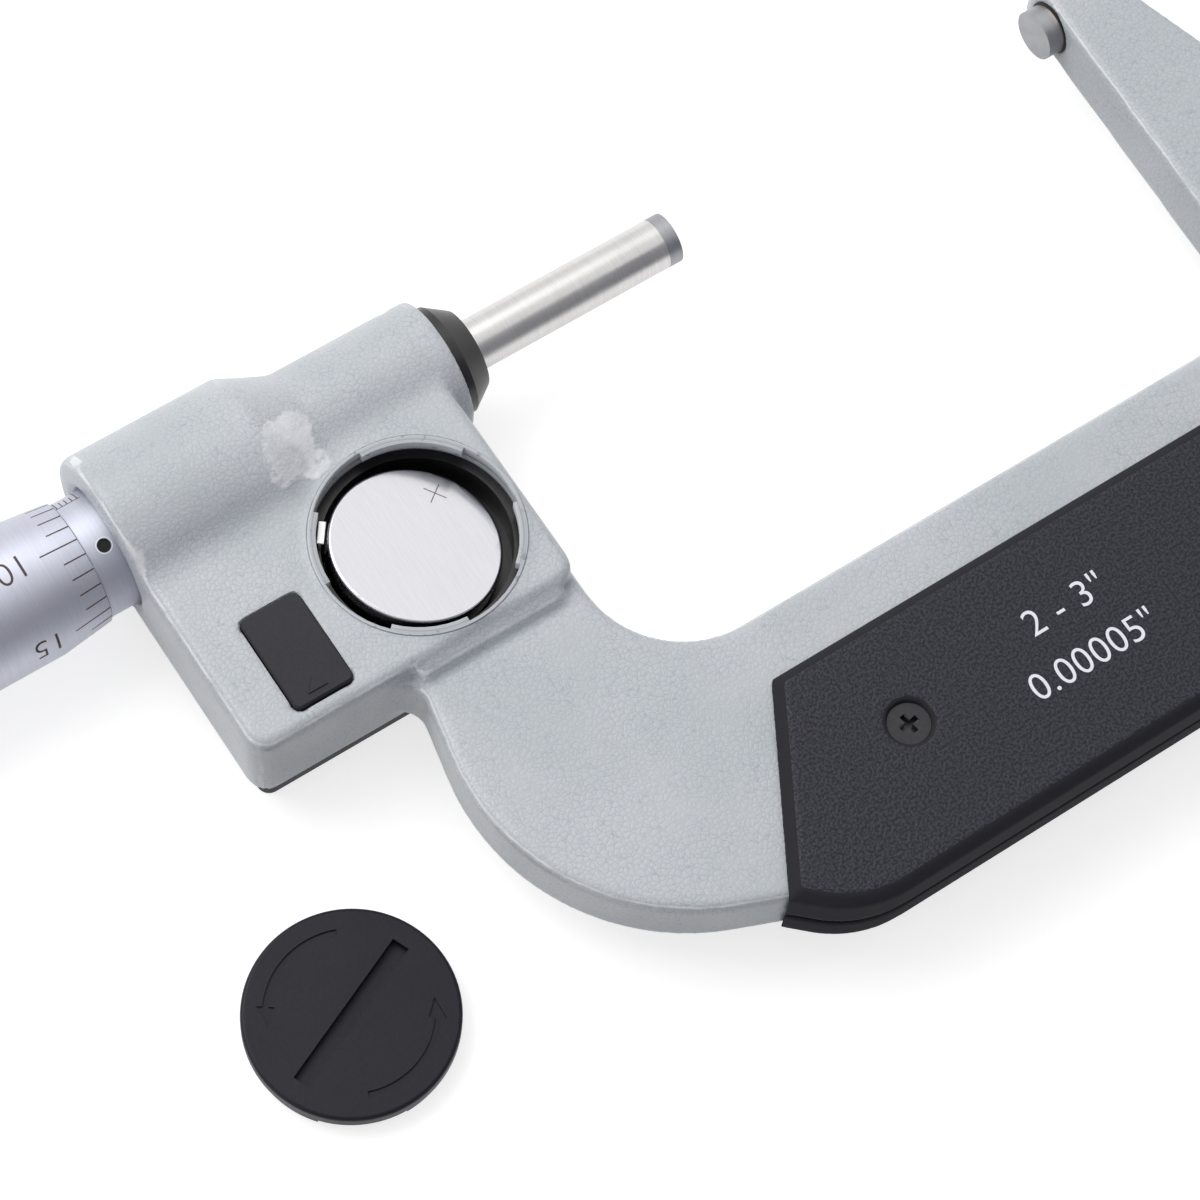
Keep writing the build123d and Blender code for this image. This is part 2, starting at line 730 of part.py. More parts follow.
# Battery bay: holder, contacts and the cell, which lies tilted
with BuildPart() as battery_holder:
    holder_r = bay_bore_r
    inner = holder_r - holder_wall
    pillar(bay_x, bay_y, bay_floor, holder_high, holder_r)
    pillar(bay_x, bay_y, bay_floor + holder_floor, holder_high + 1, inner, Mode.SUBTRACT)
    for x, y in ((bay_x - 8, bay_y - 4), (bay_x + 3, bay_y - 4), (bay_x - 2, bay_y + 8)):
        pillar(x, y, board_high, bay_floor, 1.0)
    tab_plane = Plane((bay_x, bay_y, board_high), x_dir=(cos(radians(tab_angle)), sin(radians(tab_angle)), 0))
    with BuildSketch(tab_plane) as tab_slot:
        with Locations((inner, 0)):
            Rectangle(3 * tab_thick, tab_wide + 0.4)
    extrude(tab_slot.sketch, amount=holder_high + 1 - board_high, mode=Mode.SUBTRACT)
    block((bay_x - 6.0, bay_y - 2, bay_floor - 1), (bay_x - 4.6, bay_y + 2, bay_floor + 2), Mode.SUBTRACT)

with BuildPart() as contact_plus:
    with BuildSketch(tab_plane) as tab:
        with Locations((inner, 0)):
            Rectangle(tab_thick, tab_wide)
    extrude(tab.sketch, amount=tab_top - board_high)

with BuildPart() as contact_minus:
    with BuildSketch(Plane.XZ.offset(-bay_y - leaf_wide / 2)) as leaf:
        with BuildLine():
            Polyline(
                (bay_x - 5.5, board_high),
                (bay_x - 5.2, board_high),
                (bay_x - 5.2, bay_floor + 1.3),
                (bay_x + 1.0, bay_floor + 2.2),
                (bay_x + 1.0, bay_floor + 2.5),
                (bay_x - 5.5, bay_floor + 1.6),
                close=True,
            )
        make_face()
    extrude(leaf.sketch, amount=leaf_wide)

with BuildPart() as coin_cell:
    lean = radians(cell_tilt)
    middle = (bay_x - 0.2, bay_y, cell_rise)
    top = Plane(middle, x_dir=(cos(lean), 0, -sin(lean)), z_dir=(sin(lean), 0, cos(lean)))
    with BuildSketch(top.offset(-cell_thick)) as can:
        Circle(cell_r)
    extrude(can.sketch, amount=cell_thick)
    fillet(coin_cell.edges().sort_by(Axis.Z)[-1], 0.35)
    with BuildSketch(top.offset(-cell_thick)) as groove:
        Circle(cell_r)
        Circle(cell_r - 1.2, mode=Mode.SUBTRACT)
    extrude(groove.sketch, amount=0.25, mode=Mode.SUBTRACT)

# Battery cap, lying on the floor with its slot up
with BuildPart() as battery_cap:
    skirt_top = floor_z + cap_skirt
    pillar(cap_x, cap_y, skirt_top, skirt_top + cap_disc, cap_r)
    fillet(battery_cap.edges().group_by(Axis.Z)[-1], cap_edge_r)
    ring(cap_x, cap_y, floor_z, skirt_top, bay_lip_r - 0.2, bay_lip_r - 1.6)
    sectors(cap_x, cap_y, floor_z, floor_z + lug_thick, notch_r - 0.15, notch_angles, notch_sweep - 6)
    pillar(cap_x, cap_y, floor_z - 1, skirt_top, bay_lip_r - 1.6, Mode.SUBTRACT)
    with BuildSketch(Plane.XY.offset(skirt_top + cap_disc - cap_slot_deep)) as slot:
        with Locations(Location((cap_x, cap_y, 0), (0, 0, cap_slot_angle))):
            Rectangle(cap_slot_long, cap_slot_wide)
    extrude(slot.sketch, amount=cap_slot_deep + 1, mode=Mode.SUBTRACT)

with BuildPart() as cap_seal:
    ring(cap_x, cap_y, skirt_top - 2 * seal_r, skirt_top, bay_lip_r + 0.2, bay_lip_r - 0.2 + press_gap)

# Data port under its rubber plug
with BuildPart() as port_plug:
    plug_top = head_back + port_proud
    slab(port_x, port_y, plug_top - port_plug_high, plug_top, port_wide, port_tall, port_corner_r)
    chamfer(port_plug.edges().group_by(Axis.Z)[-1], 0.2)

with BuildPart() as data_connector:
    connector_top = plug_top - port_plug_high - seat_gap
    slab(port_x, port_y, connector_top - connector_high, connector_top, 6.4, port_tall - 1.4, 0.5)

with BuildPart() as port_board:
    board_top = connector_top - connector_high
    half = port_pocket_wide / 2 - 0.2
    low = (port_x - half, port_y - port_tall / 2, board_top - board_thick)
    block(low, (port_x + half, port_y + port_tall / 2 + 1, board_top))

with BuildPart() as port_header:
    block((port_x + 1.5, port_y + 1, board_high), (port_x + 3.5, port_y + 6, board_top - board_thick))


def plate_shell(low, high, bevel_at, bevel):
    """One of the two insulating plates, wrapped round the bow's foot up to the seam between them."""
    with BuildSketch(Plane.XY.offset(low)) as outline:
        with BuildLine():
            Polyline(
                (bow_middle - plate_top_half, plate_top),
                (bow_middle + plate_top_half, plate_top),
                (bow_middle + plate_low_half, plate_low_y),
                (bow_middle + plate_low_half - plate_foot_run, -plate_bottom),
                (bow_middle - plate_low_half + plate_foot_run, -plate_bottom),
                (bow_middle - plate_low_half, plate_low_y),
                close=True,
            )
        make_face()
        by_height = outline.vertices().group_by(Axis.Y)
        fillet(by_height[0], plate_foot_r)
        fillet(by_height[1] + by_height[2], plate_corner_r)
    extrude(outline.sketch, amount=high - low)
    chamfer(edges(Select.LAST).filter_by_position(Axis.Z, bevel_at - 0.01, bevel_at + 0.01), bevel)


def plate_screw_hole(x, side):
    """Clearance through a plate and the sink for the screw's head."""
    sink = plate_back - plate_screw_sunk - plate_screw_head
    low, high = sorted((0, side * (plate_back + 1)))
    pillar(x, plate_screw_y, low, high, plate_screw_r + seat_gap, Mode.SUBTRACT)
    low, high = sorted((side * sink, side * (plate_back + 1)))
    pillar(x, plate_screw_y, low, high, plate_screw_head_r + seat_gap, Mode.SUBTRACT)


screw_xs = [bow_middle - plate_screw_x, bow_middle + plate_screw_x]

with BuildPart() as back_plate:
    plate_shell(plate_seam, plate_back, plate_back, back_bevel)
    extrude(bow_outline(-bow_half), amount=2 * bow_half + press_gap, mode=Mode.SUBTRACT)
    for x in screw_xs:
        plate_screw_hole(x, 1)

with BuildPart() as front_plate:
    plate_shell(-plate_back, -plate_seam, -plate_back, front_bevel)
    extrude(bow_outline(-bow_half - press_gap), amount=2 * bow_half, mode=Mode.SUBTRACT)
    for x in screw_xs:
        plate_screw_hole(x, -1)


def plate_screws(side):
    """The two cross-recessed screws of one plate, their heads just under its face."""
    face = plate_back - plate_screw_sunk
    for x in screw_xs:
        low, high = sorted((side * 0.3, side * face))
        pillar(x, plate_screw_y, low, high, plate_screw_r)
        low, high = sorted((side * (face - plate_screw_head), side * face))
        pillar(x, plate_screw_y, low, high, plate_screw_head_r)
    for x in screw_xs:
        with Locations((x, plate_screw_y, side * face)):
            Box(cross_wide, cross_thick, 2 * cross_deep, mode=Mode.SUBTRACT)
            Box(cross_thick, cross_wide, 2 * cross_deep, mode=Mode.SUBTRACT)


with BuildPart() as back_plate_screws:
    plate_screws(1)

with BuildPart() as front_plate_screws:
    plate_screws(-1)

pieces = {
    "frame": frame.part,
    "anvil": anvil.part,
    "anvil_tip": anvil_tip.part,
    "sleeve_stem": sleeve_stem.part,
    "outer_sleeve": outer_sleeve.part,
    "spindle_nut": spindle_nut.part,
    "adjusting_nut": adjusting_nut.part,
    "rotor_bush": rotor_bush.part,
    "spindle_bush": spindle_bush.part,
    "nose_collar": nose_collar.part,
    "nose_wiper": nose_wiper.part,
    "lock_pad": lock_pad.part,
    "clamp_lever": clamp_lever.part,
    "rotor_hub": rotor_hub.part,
    "rotor_key": rotor_key.part,
    "encoder_rotor": encoder_rotor.part,
    "encoder_stator": encoder_stator.part,
    "stator_spacer": stator_spacer.part,
    "spindle": spindle.part,
    "spindle_tip": spindle_tip.part,
    "thimble": thimble.part,
    "ratchet_driver": ratchet_driver.part,
    "ratchet_screw": ratchet_screw.part,
    "ratchet_knob": ratchet_knob.part,
    "ratchet_pawl": ratchet_pawl.part,
    "ratchet_spring": ratchet_spring.part,
    "front_cover": front_cover.part,
    "cover_gasket": cover_gasket.part,
    "cover_screws": cover_screws.part,
    "display_window": display_window.part,
    "lcd": lcd.part,
    "main_board": main_board.part,
    "button_pad": button_pad.part,
    "battery_holder": battery_holder.part,
    "contact_plus": contact_plus.part,
    "contact_minus": contact_minus.part,
    "coin_cell": coin_cell.part,
    "battery_cap": battery_cap.part,
    "cap_seal": cap_seal.part,
    "port_plug": port_plug.part,
    "data_connector": data_connector.part,
    "port_board": port_board.part,
    "port_header": port_header.part,
    "back_plate": back_plate.part,
    "front_plate": front_plate.part,
    "back_plate_screws": back_plate_screws.part,
    "front_plate_screws": front_plate_screws.part,
}
for number, part in enumerate(buttons, 1):
    pieces[f"button_{number}"] = part
for name, part in pieces.items():
    part.label = name
    export_step(part, f"parts/{name}.step")
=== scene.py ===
import math

import bmesh
import bpy
from mathutils import Matrix, Vector


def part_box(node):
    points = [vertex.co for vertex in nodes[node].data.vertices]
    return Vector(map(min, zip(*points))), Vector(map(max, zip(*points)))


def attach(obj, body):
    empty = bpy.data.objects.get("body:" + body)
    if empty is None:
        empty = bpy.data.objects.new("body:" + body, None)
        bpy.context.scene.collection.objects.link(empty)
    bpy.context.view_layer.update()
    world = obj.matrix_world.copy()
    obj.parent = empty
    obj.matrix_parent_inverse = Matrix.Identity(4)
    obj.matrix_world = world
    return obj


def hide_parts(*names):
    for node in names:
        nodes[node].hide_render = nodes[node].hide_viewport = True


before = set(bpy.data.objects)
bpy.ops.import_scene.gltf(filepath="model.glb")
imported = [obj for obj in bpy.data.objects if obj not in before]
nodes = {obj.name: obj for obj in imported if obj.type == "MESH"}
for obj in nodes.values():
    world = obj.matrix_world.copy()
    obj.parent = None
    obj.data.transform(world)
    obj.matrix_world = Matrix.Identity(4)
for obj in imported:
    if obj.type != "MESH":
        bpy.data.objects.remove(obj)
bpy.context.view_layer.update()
mm = 0.001  # the scene is in metres, and the sizes of the pieces are in mm
weldGap = 0.0001 * mm
cadGap = 0.002 * mm
bayMiddle = (-102.0, -19.85)
print("frame loaded")


# small helpers

def linear(color):
    # 0-255 screen colour to scene-linear
    values = [c / 255 for c in color]
    return tuple(v / 12.92 if v < 0.04045 else ((v + 0.055) / 1.055) ** 2.4 for v in values)


def addObject(name, data):
    thing = bpy.data.objects.new(name, data)
    bpy.context.scene.collection.objects.link(thing)
    return thing


def keepMesh(name, mesh, materials):
    piece = addObject(name, mesh)
    # clearing an empty list would still set every face back to slot 0
    if mesh.materials:
        mesh.materials.clear()
    for material in materials:
        mesh.materials.append(material)
    return piece


def bakedMesh(piece):
    graph = bpy.context.evaluated_depsgraph_get()
    return bpy.data.meshes.new_from_object(piece.evaluated_get(graph))


def settle(piece):
    # modifiers become plain mesh
    mesh = bakedMesh(piece)
    piece.modifiers.clear()
    piece.data = mesh
    return piece


def mergedCopy(node):
    mesh = nodes[node].data.copy()
    for stale in ("custom_normal", "sharp_face", "sharp_edge"):
        if stale in mesh.attributes:
            mesh.attributes.remove(mesh.attributes[stale])
    work = bmesh.new()
    work.from_mesh(mesh)
    bmesh.ops.remove_doubles(work, verts=work.verts, dist=cadGap)
    work.to_mesh(mesh)
    work.free()
    return mesh


def softEdges(mesh, degrees):
    mesh.shade_smooth()
    mesh.set_sharp_from_angle(angle=math.radians(degrees))


def evenNormals(piece):
    # large flats keep their own normal beside small fillets
    weighted = piece.modifiers.new("evenNormals", "WEIGHTED_NORMAL")
    weighted.keep_sharp = True


def finishMesh(name, work):
    mesh = bpy.data.meshes.new(name)
    work.to_mesh(mesh)
    work.free()
    return mesh


def keepWork(name, work, *materials):
    return keepMesh(name, finishMesh(name, work), materials)


def cutter(name, build):
    work = bmesh.new()
    build(work)
    bmesh.ops.recalc_face_normals(work, faces=work.faces)
    return keepWork(name, work)


def combine(piece, tool, operation):
    change = piece.modifiers.new("cut", "BOOLEAN")
    change.operation = operation
    change.solver = "EXACT"
    change.object = tool
    settle(piece)
    bpy.data.objects.remove(tool)


def remesh(piece, sizes):
    # even small faces, then softened edges, as a casting or moulding has
    change = piece.modifiers.new("evenFaces", "REMESH")
    change.mode = "VOXEL"
    change.voxel_size = sizes["voxel"] * mm
    soften = piece.modifiers.new("soften", "SMOOTH")
    soften.factor = 0.5
    soften.iterations = sizes["smooth"]
    settle(piece)


def joined(name, parts):
    work = bmesh.new()
    for part in parts:
        work.from_mesh(part.data)
    material = parts[0].data.materials[0]
    for part in parts:
        bpy.data.objects.remove(part)
    return keepWork(name, work, material)


def roundEdges(piece, width, segments, degrees=30):
    bevel = piece.modifiers.new("bevel", "BEVEL")
    bevel.width = width * mm
    bevel.segments = segments
    bevel.limit_method = "ANGLE"
    bevel.angle_limit = math.radians(degrees)
    settle(piece)


def moveBy(x, y, z):
    return Matrix.Translation((x * mm, y * mm, z * mm))


def turnBy(degrees, axis="Z"):
    return Matrix.Rotation(math.radians(degrees), 4, axis)


def addBox(work, sides, place):
    # box with these sides in mm
    size = Matrix.Diagonal([side * mm for side in sides] + [1])
    bmesh.ops.create_cube(work, size=1, matrix=place @ size)


def addLoop(work, points):
    # vertices at points in mm
    return [work.verts.new([c * mm for c in point]) for point in points]


def bridge(work, here, there):
    # quads between two closed loops of vertices
    faces = []
    for i in range(len(here)):
        j = (i + 1) % len(here)
        faces.append(work.faces.new((here[i], here[j], there[j], there[i])))
    return faces


def addPrism(work, bottom, top):
    # closed solid between two loops of points
    low, high = addLoop(work, bottom), addLoop(work, top)
    work.faces.new(list(reversed(low)))
    work.faces.new(high)
    bridge(work, low, high)


def closeUp(work):
    bmesh.ops.remove_doubles(work, verts=work.verts, dist=weldGap)
    bmesh.ops.recalc_face_normals(work, faces=work.faces)


def around(angle, radius, x):
    # point at an angle about the spindle, from +Y towards +Z
    a = math.radians(angle)
    return Vector((x, radius * math.cos(a), radius * math.sin(a)))


def lathe(name, profile, material, segments):
    # profile is (x, radius) in mm, closed on itself
    work = bmesh.new()
    rings = []
    for step in range(segments):
        a = 360 * step / segments
        rings.append([work.verts.new(around(a, r * mm, x * mm)) for x, r in profile])
    for step in range(segments):
        bridge(work, rings[step], rings[(step + 1) % segments])
    closeUp(work)
    mesh = finishMesh(name, work)
    softEdges(mesh, 25)
    return keepMesh(name, mesh, [material])


def textMesh(words, height, thick, thin, spacing=1.0):
    figureHeight = 0.73  # a figure's height as a share of the font's size
    curve = bpy.data.curves.new("words", "FONT")
    curve.body = words
    curve.size = height / figureHeight
    curve.space_character = spacing
    curve.extrude = thick / 2
    curve.offset = thin
    curve.resolution_u = 6
    piece = addObject("words", curve)
    bpy.context.view_layer.update()
    mesh = bakedMesh(piece)
    bpy.data.objects.remove(piece)
    return mesh


# shader node groups

def plug(tree, socket, value):
    if hasattr(value, "is_linked"):
        tree.links.new(value, socket)
    else:
        socket.default_value = value


def feed(tree, node, **links):
    for label, value in links.items():
        plug(tree, node.inputs[label.replace("_", " ")], value)
    return node


def addNode(tree, kind, **links):
    return feed(tree, tree.nodes.new(kind), **links)


def plugAll(tree, node, *values):
    for socket, value in zip(node.inputs, values):
        plug(tree, socket, value)
    return node.outputs


def operate(tree, kind, operation, values):
    node = tree.nodes.new(kind)
    node.operation = operation
    return plugAll(tree, node, *values)


def addMath(tree, operation, *values):
    return operate(tree, "ShaderNodeMath", operation, values)[0]


def times(tree, first, second):
    return addMath(tree, "MULTIPLY", first, second)


def minus(tree, first, second):
    return addMath(tree, "SUBTRACT", first, second)


def offBy(tree, first, second):
    return addMath(tree, "ABSOLUTE", minus(tree, first, second))


def addVector(tree, operation, *values):
    return operate(tree, "ShaderNodeVectorMath", operation, values)


def addRange(tree, value, low, high, toLow=0.0, toHigh=1.0):
    node = addNode(tree, "ShaderNodeMapRange", Value=value, From_Min=low, From_Max=high,
                   To_Min=toLow, To_Max=toHigh)
    node.interpolation_type = "SMOOTHSTEP"
    return node.outputs["Result"]


def addNoise(tree, vector, scale, detail, rough=0.5):
    node = addNode(tree, "ShaderNodeTexNoise", Vector=vector, Scale=scale, Detail=detail, Roughness=rough)
    return node.outputs


def objectPlace(tree):
    return tree.nodes.new("ShaderNodeTexCoord").outputs["Object"]


def splitAxes(tree, vector):
    return addNode(tree, "ShaderNodeSeparateXYZ", Vector=vector).outputs


def splitNormal(tree):
    return splitAxes(tree, tree.nodes.new("ShaderNodeTexCoord").outputs["Normal"])


def joinAxes(tree, **parts):
    return addNode(tree, "ShaderNodeCombineXYZ", **parts).outputs[0]


def newGroup(name, inputs, outputs):
    group = bpy.data.node_groups.new(name, "ShaderNodeTree")
    for label, value in inputs.items():
        kind = "NodeSocketVector" if isinstance(value, tuple) else "NodeSocketFloat"
        group.interface.new_socket(label, in_out="INPUT", socket_type=kind).default_value = value
    for label in outputs:
        group.interface.new_socket(label, in_out="OUTPUT", socket_type="NodeSocketFloat")
    return group, group.nodes.new("NodeGroupInput").outputs, group.nodes.new("NodeGroupOutput")


def buildCrackle():
    # hammertone enamel: small soft cells with fine lines between them
    group, given, result = newGroup("enamelCrackle", {"Cell Scale": 700.0, "Line Width": 0.06},
                                    ("Height", "Lines", "Cloud"))
    place = objectPlace(group)
    sway = 0.6 * mm
    warp = addNoise(group, place, 900.0, 2.0)["Color"]
    moved = addVector(group, "MULTIPLY_ADD", warp, (sway, sway, sway), place)[0]
    edges = addNode(group, "ShaderNodeTexVoronoi", Vector=moved, Scale=given["Cell Scale"])
    edges.feature = "DISTANCE_TO_EDGE"
    distance = edges.outputs["Distance"]
    patchy = addNoise(group, place, 160.0, 2.0)["Fac"]
    presence = addRange(group, patchy, 0.25, 0.60, 0.35, 1.0)
    line = addRange(group, distance, 0.0, given["Line Width"], 1.0, 0.0)
    dome = addRange(group, distance, 0.0, 0.35)
    peel = times(group, addNoise(group, place, 1300.0, 2.0)["Fac"], 0.6)
    feed(group, result, Height=addMath(group, "MULTIPLY_ADD", dome, 0.65, peel),
         Lines=times(group, line, presence),
         Cloud=addNoise(group, place, 60.0, 3.0)["Fac"])
    return group


def buildGrain():
    # moulded grain or turned lines, by how the pattern is stretched along each axis
    group, given, result = newGroup("surfaceGrain", {
        "Stretch": (1.0, 1.0, 1.0), "Scale": 1000.0, "Detail": 3.0}, ("Height", "Broad"))
    place = objectPlace(group)
    stretched = addVector(group, "MULTIPLY", place, given["Stretch"])[0]
    fine = addNoise(group, stretched, given["Scale"], given["Detail"], 0.6)
    feed(group, result, Height=fine["Fac"], Broad=addNoise(group, place, 90.0, 2.0)["Fac"])
    return group


def buildWear():
    # painted highlight as a thin bright crest in the middle of each rounded edge that faces the light, and
    # painted shade in the hollows, both from the mesh's own curvature
    group, given, result = newGroup("paintedEdgeLight", {"Start": 0.508, "Full": 0.5125, "End Face X": -0.1285},
                                    ("Ridge", "Hollow"))
    point = group.nodes.new("ShaderNodeNewGeometry").outputs["Pointiness"]
    place = objectPlace(group)
    facing = splitNormal(group)
    wobble = addMath(group, "MULTIPLY_ADD", addNoise(group, place, 420.0, 2.0)["Fac"], 0.16, 0.62)
    crests = []
    for axis in "ZX":
        tilt = addMath(group, "ABSOLUTE", facing[axis])
        off = offBy(group, tilt, wobble)
        crests.append(addRange(group, off, 0.05, 0.12, 1.0, 0.0))
    nearEnd = addMath(group, "LESS_THAN", splitAxes(group, place)["X"], given["End Face X"])
    rim = times(group, times(group, crests[1], nearEnd), 0.45)
    crest = addMath(group, "MAXIMUM", crests[0], rim)
    # only edges turned towards -X, where the light comes from, get the painted highlight
    towardLight = addRange(group, facing["X"], -0.10, 0.12, 1.0, 0.15)
    broken = addRange(group, addNoise(group, place, 260.0, 3.0)["Fac"], 0.35, 0.55, 0.35, 1.0)
    ridge = addRange(group, point, given["Start"], given["Full"])
    for share in (crest, towardLight, broken):
        ridge = times(group, ridge, share)
    feed(group, result, Ridge=ridge, Hollow=addRange(group, point, 0.47, 0.492, 1.0, 0.0))
    return group


def buildDust():
    # a few pale specks
    group, given, result = newGroup("dustSpecks", {"Scale": 420.0, "Rarity": 0.9}, ("Mask",))
    cell = addNode(group, "ShaderNodeTexVoronoi", Vector=objectPlace(group), Scale=given["Scale"])
    dot = addMath(group, "LESS_THAN", cell.outputs["Distance"], 0.09)
    split = addNode(group, "ShaderNodeSeparateColor", Color=cell.outputs["Color"])
    chosen = addMath(group, "GREATER_THAN", split.outputs[0], given["Rarity"])
    feed(group, result, Mask=times(group, dot, chosen))
    return group


crackle, grain, edgeLight, dust = buildCrackle(), buildGrain(), buildWear(), buildDust()


def placeGroup(tree, group, **values):
    node = tree.nodes.new("ShaderNodeGroup")
    node.node_tree = group
    return feed(tree, node, **values).outputs


def mixColor(tree, factor, first, second, share=1.0):
    node = tree.nodes.new("ShaderNodeMix")
    node.data_type = "RGBA"
    tree.links.new(factor if share == 1.0 else times(tree, factor, share), node.inputs["Factor"])
    for socket, color in ((node.inputs[6], first), (node.inputs[7], second)):
        plug(tree, socket, (*linear(color), 1) if isinstance(color, tuple) else color)
    return node.outputs[2]


def addBump(tree, shader, height, strength, distance):
    bump = addNode(tree, "ShaderNodeBump", Strength=strength, Distance=distance, Height=height)
    tree.links.new(bump.outputs["Normal"], shader.inputs["Normal"])


def newFinish(name, metallic=0.0):
    material = bpy.data.materials.new(name)
    material.use_nodes = True
    shader = material.node_tree.nodes["Principled BSDF"]
    shader.inputs["Metallic"].default_value = metallic
    return material, material.node_tree, shader


def grainyFinish(name, color, shade, rough, bump, scale, stretch=(1, 1, 1), metallic=0.0, depth=0.02,
                 specks=None, detail=3.0, gleam=0.5, border=None):
    # one finish for plastics, rubber and turned metal: two near colours, grain in bump and gloss
    material, tree, shader = newFinish(name, metallic)
    grainOut = placeGroup(tree, grain, Scale=scale, Stretch=stretch, Detail=detail)
    height = grainOut["Height"]
    if border:
        # grain on the flat faces only, and a dark gap where the two halves meet
        facing = splitNormal(tree)["Z"]
        flat = addMath(tree, "GREATER_THAN", addMath(tree, "ABSOLUTE", facing), border["flatFrom"])
        height = addMath(tree, "MULTIPLY_ADD", minus(tree, height, 0.5), flat, 0.5)
    base = mixColor(tree, addRange(tree, height, 0.35, 0.65, 1.0, 0.0), color, shade)
    gloss = addRange(tree, grainOut["Broad"], 0.3, 0.7, *rough)
    if border:
        low, high = border["gap"]
        fromSeam = addMath(tree, "ABSOLUTE", splitAxes(tree, objectPlace(tree))["Z"])
        deep = addRange(tree, fromSeam, low * mm, high * mm, 1.0, 0.0)
        base = mixColor(tree, deep, mixColor(tree, flat, border["color"], base), border["deep"])
        sideGloss = times(tree, minus(tree, 1.0, flat), border["rough"])
        gloss = addMath(tree, "MAXIMUM", addMath(tree, "MAXIMUM", gloss, sideGloss), deep)
    if specks:
        spots = placeGroup(tree, dust, Scale=specks[0], Rarity=specks[1])
        base = mixColor(tree, spots["Mask"], base, (225, 226, 228))
    feed(tree, shader, Base_Color=base, Roughness=gloss, Specular_IOR_Level=gleam)
    addBump(tree, shader, height, bump, depth * mm)
    return material


# finishes

# ridge is the colour of the painted highlight on the edges
enamelLook = {"body": (190, 194, 199), "shade": (182, 187, 192), "line": (146, 153, 162),
              "ridge": (230, 231, 233), "rough": (0.30, 0.40), "cells": 1500.0, "lineWidth": 0.075,
              "lineShare": 0.56, "creaseShadeShare": 0.45, "highlightShare": 0.75, "bump": 0.55, "depth": 0.05,
              "bayMiddle": (*bayMiddle, 6.8), "bayClear": 13.2, "blobAt": (-108.9, -3.9, 8.2),
              "blobSize": 4.4, "blobSway": 4.4, "blobHighlight": (226, 227, 232)}


def enamelFinish():
    look = enamelLook
    material, tree, shader = newFinish("hammertoneEnamel")
    cells = placeGroup(tree, crackle, Cell_Scale=look["cells"], Line_Width=look["lineWidth"])
    edges = placeGroup(tree, edgeLight)
    base = mixColor(tree, addRange(tree, cells["Cloud"], 0.35, 0.65), look["body"], look["shade"])
    base = mixColor(tree, cells["Lines"], base, look["line"], look["lineShare"])
    # painted shade in the creases and hollows, in the colour of the crackle lines
    base = mixColor(tree, edges["Hollow"], base, look["line"], look["creaseShadeShare"])
    # no painted edge highlight where the enamel meets the machined ring
    place = objectPlace(tree)
    away = addVector(tree, "DISTANCE", place, [c * mm for c in look["bayMiddle"]])["Value"]
    clearOfBay = addMath(tree, "GREATER_THAN", away, look["bayClear"] * mm)
    edgeHighlight = times(tree, edges["Ridge"], clearOfBay)
    base = mixColor(tree, edgeHighlight, base, look["ridge"], look["highlightShare"])
    # thick drip of enamel on the barrel, raised in the bump and made lighter with a painted highlight where
    # it catches the light
    warp = addNoise(tree, place, 330.0, 3.0)
    swayed = addVector(tree, "MULTIPLY_ADD", warp["Color"], [look["blobSway"] * mm] * 3, place)[0]
    middle = [(c + look["blobSway"] / 2) * mm for c in look["blobAt"]]
    gap = addVector(tree, "DISTANCE", swayed, middle)["Value"]
    blob = addRange(tree, gap, look["blobSize"] * 0.86 * mm, look["blobSize"] * mm, 1.0, 0.0)
    mottle = addRange(tree, warp["Fac"], 0.35, 0.62, 0.35, 0.9)
    base = mixColor(tree, times(tree, blob, mottle), base, look["blobHighlight"])
    rough = addRange(tree, cells["Cloud"], 0.3, 0.7, *look["rough"])
    rough = minus(tree, rough, times(tree, blob, 0.12))
    feed(tree, shader, Base_Color=base, Roughness=rough)
    height = addMath(tree, "ADD", cells["Height"], times(tree, blob, 2.5))
    addBump(tree, shader, height, look["bump"], look["depth"] * mm)
    return material


enamel = enamelFinish()

# the grain of turned metal runs in rings round the X axis
turned = {"stretch": (1, 0.02, 0.02), "metallic": 1.0, "depth": 0.003}
plateBorder = {"color": (38, 38, 44), "deep": (6, 6, 7), "gap": (0.20, 0.42), "rough": 0.8, "flatFrom": 0.97}
satinChrome = grainyFinish("satinChrome", (196, 198, 209), (190, 192, 204), (0.46, 0.54), 0.08, 9000.0,
                           **turned)
groundSteel = grainyFinish("groundSteel", (214, 212, 211), (204, 202, 201), (0.26, 0.34), 0.12, 12000.0,
                           **turned)
anvilSteel = grainyFinish("anvilSteel", (186, 176, 172), (172, 162, 158), (0.24, 0.32), 0.12, 9000.0,
                          **turned)
carbideGrey = grainyFinish("lappedCarbide", (164, 165, 169), (156, 157, 161), (0.40, 0.50), 0.08, 9000.0,
                           **{**turned, "stretch": (1, 0.05, 0.05)})
bronze = grainyFinish("turnedBronze", (176, 140, 88), (164, 128, 78), (0.3, 0.4), 0.12, 9000.0,
                      **{**turned, "depth": 0.004})
collarBlack = grainyFinish("blackAnodised", (36, 36, 38), (30, 30, 32), (0.30, 0.38), 0.12, 9000.0,
                           **{**turned, "metallic": 0.0, "depth": 0.004})
cellShine = grainyFinish("cellSteel", (230, 229, 234), (226, 225, 230), (0.12, 0.2), 0.04, 5000.0,
                         stretch=(1, 0.05, 1), metallic=1.0, depth=0.002)
tabShine = grainyFinish("platedContact", (246, 246, 244), (240, 240, 238), (0.3, 0.4), 0.1, 3000.0,
                        metallic=0.6, depth=0.004)
screwBlack = grainyFinish("blackenedScrew", (40, 40, 44), (32, 32, 36), (0.28, 0.38), 0.2, 2200.0,
                          metallic=0.2, depth=0.01)
plateBlack = grainyFinish("leatherGrainPlastic", (56, 56, 66), (32, 32, 39), (0.34, 0.44), 1.0, 2900.0,
                          depth=0.12, detail=1.0, gleam=0.2, border=plateBorder)
